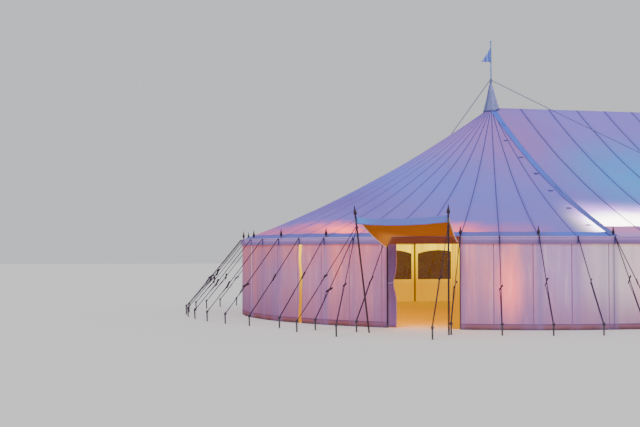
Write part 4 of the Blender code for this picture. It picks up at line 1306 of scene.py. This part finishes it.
def fold_out(at, height, seed):
    """How far the wall's folds stand out at a seam number and height."""
    free = 0.35 + 0.65 * min(1.0, (WALL_TOP - height) / 0.7)
    swell = wander(at * 1.9, seed, height * 0.35) + 0.55 * wander(at * 5.5, seed + 7, height * 0.6)
    swell += 0.25 * wander(at * 14.0, seed + 3, height * 1.6)
    out = settings_of("wall").fold * free * swell + swag(at, height)
    near = exp(-(from_pole(at) / 0.05) ** 2)
    return max(-0.010 if near < 0.3 else -0.004, min(0.0115, out * (1 - 0.6 * near) + 0.002 * near))


def slit_wave(height):
    """How far the loose edges of the slit swing to one side."""
    return 0.022 * sin(height * 4.2 + 0.6) + 0.010 * sin(height * 9.0)


def door_flap(form):
    """Canvas drawn back beside the doorway's other jamb, in the light of the lamps."""
    rows = []
    for height in (0.015 + (WALL_TOP - 0.025) * i / 12 for i in range(13)):
        row = []
        for share in (k / 40 for k in range(41)):
            turn = share * 2 * pi * 3.5
            out = FLAP_OUT + 0.020 * sin(turn + 0.4 * wander(share * 3, height, 5))
            at = DOOR_SEAM - 1 + (0.035 + 0.2 * share) / BAY + 0.006 * wander(share, height * 1.4, 8)
            # Painted shade in the folds of the lining
            row.append((rim(at, out, height), 0.5 - 0.5 * sin(turn)))
        rows.append(row)
    form.grid(rows, 4)


def slit_flap(form):
    """Inner lap of canvas behind the slit, in the light of the lamps."""
    rows = []
    for height in (0.012 + (WALL_TOP - 0.03) * i / 16 for i in range(17)):
        rows.append([rim(SLIT_SEAM + (-0.13 + 0.26 * k / 8) / BAY,
                         SLIT_LAP_OUT + 0.006 * sin(k * 1.1 + height * 2), height) for k in range(9)])
    form.grid(rows, 4)


WALL_EXTRAS = {"wall_left_front": (door_flap, 0.32), "wall_left_side": (slit_flap, 0.26)}


def wall_columns(start, end, windows):
    """Columns along a wall: the seam number, and 1 on a seam or 2 on a lit one."""
    count = int((end - start) * 14)
    columns = [(start + (end - start) * k / count, 0) for k in range(count + 1)]
    for seam in range(int(start), int(end) + 1):
        at = seam + SEAM_BESIDE
        if seam not in windows and start + 0.05 < at < end - 0.05:
            kind = 2 if seam in LIT_SEAMS else 1
            wide = SEAM_HALF * (1.6 if kind == 2 else 1.0)
            columns = [column for column in columns if abs(column[0] - at) > 2.2 * SEAM_HALF]
            columns += [(at - wide * 1.3, 0), (at - wide, kind), (at + wide, kind), (at + wide * 1.3, 0)]
    for seam in windows:
        for out in (WINDOW_HALF + WINDOW_EDGE, WINDOW_HALF):
            for at in (seam - out / BAY, seam + out / BAY):
                columns = [column for column in columns if abs(column[0] - at) > 0.018] + [(at, 0)]
    return sorted(columns)


def make_wall(name, first, last):
    """Wall canvas in folds, with seams, a skirt, and arched windows where it has them."""
    wall = settings_of("wall")
    windows = [seam for seam in range(first, last) if seam % 2] if name in WINDOW_WALLS else []
    slit = name in ("wall_left_side", "wall_left_porch")
    start = first + (SLIT_HALF if slit and first == SLIT_SEAM else WALL_GAP)
    end = last - (SLIT_HALF if slit and last == SLIT_SEAM else WALL_GAP)
    columns = wall_columns(start, end, windows)
    framed = WINDOW_HALF + WINDOW_EDGE + 0.0001
    seed = first * 0.37 + 2

    def away(at):
        """Metres from the middle of the nearest window."""
        return min((abs(at - seam) * BAY for seam in windows), default=BAY)

    def levels(at):
        """Heights of a column's places."""
        heights = [0.0, 0.03, wall.skirt - 0.012, wall.skirt]
        if not windows:
            return heights + [wall.skirt + (WALL_CREST - wall.skirt) * (k / 26) ** 0.8 for k in range(1, 27)]
        crown = WINDOW_CROWN - WINDOW_ARCH * min(1.0, away(at) / WINDOW_HALF) ** 2
        heights += [0.40, WINDOW_SILL - WINDOW_EDGE]
        heights += [WINDOW_SILL + (crown - WINDOW_SILL) * k / 6 for k in range(7)]
        return heights + [crown + WINDOW_EDGE + (WALL_CREST - crown - WINDOW_EDGE) * k / 3 for k in range(4)]

    def spot(place, kind, i, height):
        """Place and shade at a column and height."""
        at = place
        if slit and abs(place - SLIT_SEAM) < 0.4:
            at += slit_wave(height) * exp(-((abs(place - SLIT_SEAM) - SLIT_HALF) / 0.12) ** 2)
        flat = 0.15 if away(at) <= framed and windows else 1.0
        out = WALL_OUT + 0.0015 + fold_out(at, height, seed) * flat + (0.002 if kind else 0.0)
        out += 0.002 if i == 3 else 0.0
        if windows:
            out = max(-0.040, min(-0.0315, out))
        return rim(at, out, height), 0.0 if kind else pole_shadow(place)

    def between(j):
        """Metres from the nearest window to the middle between two columns."""
        return away((columns[j][0] + columns[j + 1][0]) / 2)

    def finish(i, j):
        if columns[j][1] and columns[j + 1][1]:
            return 5 if columns[j][1] == 2 and i > 3 else 1
        return 2 if i < 3 else 3 if windows and between(j) <= framed and 5 <= i < 13 else 0

    form = Form()
    cells = [[spot(place, kind, i, height) for i, height in enumerate(levels(place))]
             for place, kind in columns]
    form.grid(zip(*cells), finish, skip=lambda i, j: windows and between(j) < WINDOW_HALF and 6 <= i < 12)
    length = (end - start) * (PANEL if first in (END_SEAMS, SEAMS - MIDDLE_PANELS) else BAY)
    if name in WALL_EXTRAS:
        make_extra, more = WALL_EXTRAS[name]
        make_extra(form)
        length += more
    finishes = ["wall_canvas", "wall_seam", "wall_skirt", "window_tape", "door_flap", "lit_seam"]
    piece = form.build(name + "_cloth", finishes, name, wall.cloth, "wall_lining",
                       beside_ridge, 50)
    opening = 2 * WINDOW_HALF * (WINDOW_CROWN - WINDOW_ARCH / 3 - WINDOW_SILL)
    length * WALL_TOP - len(windows) * opening


def make_window_sheet(name, first, last):
    """Clear film over the windows of one wall, cut to their arches, with welded edges."""
    form = Form()
    low, high = WINDOW_SILL - WINDOW_LAP, WINDOW_CROWN + WINDOW_LAP
    reach, weld = WINDOW_HALF + WINDOW_EDGE, 0.024
    beside = [-reach] + [(reach - weld) * (k / 10 - 1) for k in range(21)] + [reach]
    for seam in range(first + 1, last, 2):
        sheet = []
        for out in beside:
            at = seam + out / BAY
            top = WINDOW_CROWN - WINDOW_ARCH * min(1.0, abs(out) / WINDOW_HALF) ** 2 + WINDOW_EDGE
            heights = [low, low + weld, *(low + (top - low) * k / 10 for k in range(1, 10)), top - weld, top]
            sheet.append([rim(at, FILM_OUT + 0.0014 * wander(at * 2.4, first, height * 2.0), height)
                          for height in heights])
        form.grid(zip(*sheet), lambda i, j: 1 if i in (0, 11) or j in (0, 21) else 0)
    piece = form.build(name + "_film", ["clear_film", "window_tape"], name, 0.0010,
                       heart=beside_ridge)
    (last - first) * PANEL - 2 * WINDOW_LAP
    "wall" + name[len("window_sheet"):] + "_cloth"


def make_curtain():
    """Canvas of the doorway, drawn aside in folds and tied."""
    form = Form()
    jamb = DOOR_SEAM + 1
    width = 0.21 / BAY
    last = jamb - 0.03 / BAY
    rows = []
    for height in (0.012 + (WALL_TOP - 0.020) * i / 26 for i in range(27)):
        row = []
        waist = exp(-((height - CURTAIN_WAIST) / 0.22) ** 2)
        depth = 0.026 * (1 - 0.35 * waist) * (1 if height < 1.9 else 0.8)
        for share in (k / 96 for k in range(97)):
            turn = share * 2 * pi * 7 + 0.5 * wander(share * 3, height * 0.8, 2)
            out = CURTAIN_OUT + depth * sin(turn) * (0.8 + 0.3 * wander(share * 6, height, 9))
            at = last - width * (1 - share) * (1 - 0.38 * waist)
            # Painted shade in the folds
            row.append((rim(at, max(-0.088, min(-0.030, out)), height), max(0.0, -sin(turn)) * 0.7))
        rows.append(row)
    form.grid(rows)
    piece = form.build("door_curtain_cloth", ["curtain_canvas"], "door_curtain",
                       settings_of("wall").cloth, "wall_lining", beside_ridge, 70)
    tie = Form()
    way = outward(jamb)
    side = Vector((-way.y, way.x, 0))
    for number in range(3):
        middle = rim(last - width * 0.34, CURTAIN_OUT, CURTAIN_WAIST + 0.008 * number)
        path = loop(middle, side * 0.078, way * 0.036, 28, lambda turn: 0.006 * sin(turn * 2))
        tie.tube(path, RING_RADIUS, closed=True)
    tie.build("door_curtain_tie", ["eave_rope"])


def awning_frame():
    """Middle of the doorway at the eave, with the awning's outward and sideways directions."""
    left, right = rim(DOOR_SEAM + 1), rim(DOOR_SEAM - 1)
    return (left + right) / 2, outward(DOOR_SEAM), (left - right).normalized()


def make_awning():
    """Sagging awning with white edges, paler corners and a front valance."""
    awning = settings_of("awning")
    start, way, left = awning_frame()
    inner = (rim(DOOR_SEAM) - start).length + ROPE_OUT
    seat = eave_height() + ROPE_OUT + AWNING_SEAT
    alongs = [0.0, 0.015, 0.03, 0.06] + [0.06 + 0.90 * k / 16 for k in range(1, 17)] + [0.985, 1.0]
    acrosses = [-1.0, -0.975, -0.95] + [-0.95 + 1.90 * k / 20 for k in range(1, 20)] + [0.95, 0.975, 1.0]

    def spot(along, across, down=0.0, out=0.0):
        """Place on the awning, or below its front edge."""
        height = seat + (awning.height + awning.corner_lift * (1 - 0.25 * across) - seat) * along
        height -= awning.front_sag * along * (1 - across * across)
        height -= awning.side_sag * along * (1 - along) * 4
        loose = max(0.0, (abs(across) - 0.87) / 0.13) ** 1.4
        height -= (0.27 if across > 0 else 0.15) * loose * (1 - along) ** 1.3
        half = awning.width / 2 + (awning.back_width - awning.width) / 2 * (1 - along)
        level = start + way * (inner + (awning.depth - inner) * along + out) + left * across * half
        crease = 0.012 * wander(level.x * 2.2, level.y * 2.2, 1) * sin(pi * along) ** 0.5
        pull = 0.012 * sin(across * 16) * max(0.0, along - 0.6) * abs(across)
        return Vector((level.x, level.y, height + crease + pull - down))

    # Here the shade values make the corners paler, towards the corner colour
    rows = [[(spot(along, across), min(1.0, max(0.0, abs(across) * 1.5 - 0.7) * along)) for across in acrosses]
            for along in alongs]
    for down in (0.006, 0.012, 0.05, 0.09, 0.125, 0.132, awning.valance):
        row = []
        for across in acrosses:
            swing = 0.012 * wander(across * 3.0, 4, down * 3) + 0.006 * sin(across * 14)
            # Here too the shade values make the cloth paler, most towards one corner
            shade = min(1.0, max(0.0, (across - 0.55) * 2.4) + 0.12)
            row.append((spot(1.0, across, down, 0.003 + swing * down / awning.valance), shade))
        rows.append(row)
    foot = len(alongs) - 1
    edges = (0, 1, len(acrosses) - 3, len(acrosses) - 2)

    def finish(i, j):
        return 1 if j in edges and i < foot else 2 if i in (foot, len(rows) - 2) else 0

    form = Form()
    form.grid(rows, finish)
    piece = form.build("awning_canopy_cloth", ["awning_canvas", "awning_edge", "awning_hem"], "awning_canopy",
                       0.0025, "awning_lining",
                       lambda place: Vector((start.x, start.y, 0)) + way * 0.4, 50)
    edging = Form()
    for across in (-0.995, 0.995):
        edging.tube([spot(0.02 + 0.975 * k / 24, across, 0.004) for k in range(25)], 0.011)
    edging.build("awning_edge_ropes", ["awning_edge"])


def awning_foot(side, lean, out):
    """Foot of an awning pole on the ground, so far before the awning's edge."""
    awning = settings_of("awning")
    start, way, left = awning_frame()
    return start + way * (awning.depth + out) + left * side * (awning.width / 2 - tan(lean) * awning.height)


def make_awning_pole(name, side, lean):
    """Front pole of the awning, with its spear finial and ferrule."""
    form = Form()
    r = AWNING_POLE_RADIUS
    top = settings_of("awning").height / cos(lean)
    crown = top + 0.042
    profile = [(r * 0.9, 0.0), (r, 0.01), (r, 0.10), (r * 0.94, 0.105), (r * 0.96, 1.2),
               (r * 0.94, top - 0.13), (r, top - 0.125), (r, top - 0.02), (r * 0.9, top), (r * 0.9, crown)]
    foot = awning_foot(side, lean, r * cos(pi / 6) + 0.0003) + UP * r * sin(lean)
    place = Matrix.Translation(foot) @ Matrix.Rotation(side * lean, 4, outward(DOOR_SEAM))
    form.turned(profile, 16, place, iron=(0, 1, 2, 6, 7))
    form.turned(finial_profile(crown, 0.258, 0.040), 20, place)
    form.build(name + "_dressed", ["stained_wood", "iron"], name, crease=35)


def make_awning_guys(name, side, lean):
    """Guys of an awning pole, from the loop round its head: one to the front, and one to the free side."""
    start, way, left = awning_frame()
    height = settings_of("awning").height - 0.21
    hold = awning_foot(side, lean, 0.0185) + left * side * tan(lean) * height
    form = Form()
    tilt = Matrix.Rotation(side * lean, 3, way)
    for turn in LOOP_TURNS:
        ring = loop(hold + UP * (height + turn), tilt @ X * LOOP_RADIUS, tilt @ Y * LOOP_RADIUS, 16)
        form.tube(ring, 0.0060, 6, 0, True)
    radius = settings_of("rope").radius * 0.8
    ends = [way * 1.30] + ([way * 0.35 + left * side * 1.30] if side > 0 else [])
    for number, end in enumerate(ends):
        knot = hold + end.normalized() * 0.030 + UP * (height + 0.015)
        put_guy(form, knot, hold + end + UP * STAKE_HEIGHT, seeded(name, number), radius, 0.11)
    form.build(name + "_dressed", ["guy_rope", "stained_wood", "iron"], name, crease=45)


class MARQUEE_OT_roof(bpy.types.Operator):
    """Make the two round ends and the straight middle of the roof"""

    bl_idname = "marquee.roof"
    bl_label = "Roof"

    def execute(self, context):
        make_roof("roof_middle", END_SEAMS, END_SEAMS + MIDDLE_PANELS)
        make_roof("roof_left_end", 0, END_SEAMS)
        make_roof("roof_right_end", END_SEAMS + MIDDLE_PANELS, SEAMS - MIDDLE_PANELS)
        return {"FINISHED"}


class MARQUEE_OT_covers(bpy.types.Operator):
    """Make the flaps over the laced joints, with their tabs"""

    bl_idname = "marquee.covers"
    bl_label = "Lacing covers"

    def execute(self, context):
        for name, side in ENDS:
            make_cover("lacing_cover_" + name, side)
        return {"FINISHED"}


class MARQUEE_OT_bonnets(bpy.types.Operator):
    """Make the canvas cones over the king poles' heads"""

    bl_idname = "marquee.bonnets"
    bl_label = "Bonnets"

    def execute(self, context):
        for name, side in ENDS:
            make_bonnet("bonnet_" + name, side)
        return {"FINISHED"}


class MARQUEE_OT_masts(bpy.types.Operator):
    """Make the masts and their pennants"""

    bl_idname = "marquee.masts"
    bl_label = "Masts and pennants"

    def execute(self, context):
        for name, side in ENDS:
            make_mast("flag_mast_" + name, side)
            make_pennant("pennant_" + name, side)
        return {"FINISHED"}


class MARQUEE_OT_king_poles(bpy.types.Operator):
    """Make the two main poles inside"""

    bl_idname = "marquee.king_poles"
    bl_label = "King poles"

    def execute(self, context):
        for name, side in ENDS:
            make_king_pole("king_pole_" + name, side)
        return {"FINISHED"}


class MARQUEE_OT_side_poles(bpy.types.Operator):
    """Make the side poles with their finials, and the rope for the walls"""

    bl_idname = "marquee.side_poles"
    bl_label = "Side poles"

    def execute(self, context):
        for name, (first, last) in POLE_RUNS.items():
            make_side_poles(name, first, last)
        return {"FINISHED"}


class MARQUEE_OT_guys(bpy.types.Operator):
    """Make the eave rope and the side guys with their runners and stakes"""

    bl_idname = "marquee.guys"
    bl_label = "Side guys"

    def execute(self, context):
        for name, (first, last) in GUY_RUNS.items():
            make_guys(name, first, last)
        return {"FINISHED"}


class MARQUEE_OT_main_guys(bpy.types.Operator):
    """Make the long guys from the king poles' heads"""

    bl_idname = "marquee.main_guys"
    bl_label = "Main guys"

    def execute(self, context):
        for name, facts in MAIN_GUYS.items():
            make_main_guy(name, *facts)
        return {"FINISHED"}


class MARQUEE_OT_walls(bpy.types.Operator):
    """Make the walls, with their folds, skirts and arched windows"""

    bl_idname = "marquee.walls"
    bl_label = "Walls"

    def execute(self, context):
        for name, (first, last) in WALL_RUNS.items():
            make_wall(name, first, last)
        return {"FINISHED"}


class MARQUEE_OT_windows(bpy.types.Operator):
    """Make the clear sheets over the windows"""

    bl_idname = "marquee.windows"
    bl_label = "Window sheets"

    def execute(self, context):
        for name in WINDOW_WALLS:
            make_window_sheet("window_sheet" + name[len("wall"):], *WALL_RUNS[name])
        return {"FINISHED"}


class MARQUEE_OT_curtain(bpy.types.Operator):
    """Make the doorway's canvas, drawn aside"""

    bl_idname = "marquee.curtain"
    bl_label = "Door canvas"

    def execute(self, context):
        make_curtain()
        return {"FINISHED"}


class MARQUEE_OT_awning(bpy.types.Operator):
    """Make the awning with its poles and guys"""

    bl_idname = "marquee.awning"
    bl_label = "Awning"

    def execute(self, context):
        for name, side, lean in AWNING_SIDES:
            make_awning_pole("awning_pole_" + name, side, lean)
            make_awning_guys("awning_guys_" + name, side, lean)
        make_awning()
        return {"FINISHED"}


KEY_PLACE, KEY_AIM = Vector((-30, -40, 50)), Vector((0, 0, 2))
LAMP_PLACES = ((-8.6, -3.6, 2.2), (-6.5, 0.0, 2.6), (-2.0, -3.0, 2.6), (2.0, 3.0, 2.6), (6.5, 0.0, 2.6),
               (-7.6, -5.4, 1.7))
FLOOR_REACH = 140.0


def put(name, data, place, turn=(0, 0, 0)):
    """Put a light, the camera or the floor in the scene."""
    made = bpy.data.objects.new(name, data)
    bpy.context.scene.collection.objects.link(made)
    made.location = place
    made.rotation_euler = turn
    return made


def light(name, kind, power, colour):
    """The data of a light."""
    data = bpy.data.lights.new(name, kind)
    data.energy = power
    data.color = colour
    return data


class MARQUEE_OT_stage(bpy.types.Operator):
    """Put the floor, the soft light, the lamps inside and the camera"""

    bl_idname = "marquee.stage"
    bl_label = "Stage"

    def execute(self, context):
        stage = settings_of("stage")
        mesh = bpy.data.meshes.new("floor")
        corners = [(x * FLOOR_REACH, y * FLOOR_REACH, 0) for x, y in ((-1, -1), (1, -1), (1, 1), (-1, 1))]
        mesh.from_pydata(corners, [], [(0, 1, 2, 3)])
        mesh.materials.append(finish_for("studio_floor"))
        put("floor", mesh, (0, 0, 0))
        world = bpy.data.worlds.new("studio")
        world.use_nodes = True
        backdrop = world.node_tree.nodes["Background"].inputs
        backdrop["Color"].default_value = (*stage.sky, 1.0)
        backdrop["Strength"].default_value = stage.sky_strength
        context.scene.world = world
        key = light("key_light", "SUN", stage.key_strength, (1.0, 0.98, 0.95))
        key.angle = radians(25)
        put("key_light", key, KEY_PLACE, (KEY_AIM - KEY_PLACE).to_track_quat("-Z", "Y").to_euler())
        for number, place in enumerate(LAMP_PLACES):
            lamp = light(f"lamp_{number}", "POINT", stage.lamp_power, stage.lamp)
            lamp.shadow_soft_size = 0.25
            put(f"lamp_{number}", lamp, place)
        data = bpy.data.cameras.new("camera")
        data.lens = CAMERA_LENS
        data.sensor_width = 36.0
        data.clip_end = 500.0
        context.scene.camera = put("camera", data, CAMERA_PLACE, CAMERA_TURN)
        return {"FINISHED"}


SETTINGS = {
    "marquee_roof": RoofSettings,
    "marquee_wall": WallSettings,
    "marquee_trim": TrimSettings,
    "marquee_wood": WoodSettings,
    "marquee_rope": RopeSettings,
    "marquee_awning": AwningSettings,
    "marquee_stage": StageSettings,
}
OPERATORS = (MARQUEE_OT_stage, MARQUEE_OT_king_poles, MARQUEE_OT_masts, MARQUEE_OT_side_poles, MARQUEE_OT_roof,
             MARQUEE_OT_covers, MARQUEE_OT_bonnets, MARQUEE_OT_guys, MARQUEE_OT_main_guys, MARQUEE_OT_walls,
             MARQUEE_OT_windows, MARQUEE_OT_curtain, MARQUEE_OT_awning)


class MARQUEE_PT_panel(bpy.types.Panel):
    """Lists the marquee's pieces and settings"""

    bl_label = "Pole marquee"
    bl_idname = "MARQUEE_PT_panel"
    bl_space_type = "VIEW_3D"
    bl_region_type = "UI"
    bl_category = "Marquee"

    def draw(self, context):
        for operator in OPERATORS:
            self.layout.operator(operator.bl_idname)
        for name, group in SETTINGS.items():
            box = self.layout.box()
            box.label(text=group.__doc__)
            for setting in group.__annotations__:
                box.prop(getattr(context.scene, name), setting)


CLASSES = (*SETTINGS.values(), *OPERATORS, MARQUEE_PT_panel)


def register():
    """Register the add-on's classes and settings."""
    for kind in CLASSES:
        bpy.utils.register_class(kind)
    for name, group in SETTINGS.items():
        setattr(bpy.types.Scene, name, bpy.props.PointerProperty(type=group))


def unregister():
    """Take the add-on's classes and settings out again."""
    for name in SETTINGS:
        delattr(bpy.types.Scene, name)
    for kind in reversed(CLASSES):
        bpy.utils.unregister_class(kind)


def main():
    """Register the add-on and make every piece."""
    register()
    for operator in OPERATORS:
        group, name = operator.bl_idname.split(".")
        getattr(getattr(bpy.ops, group), name)()
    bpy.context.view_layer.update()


if __name__ == "__main__":
    main()
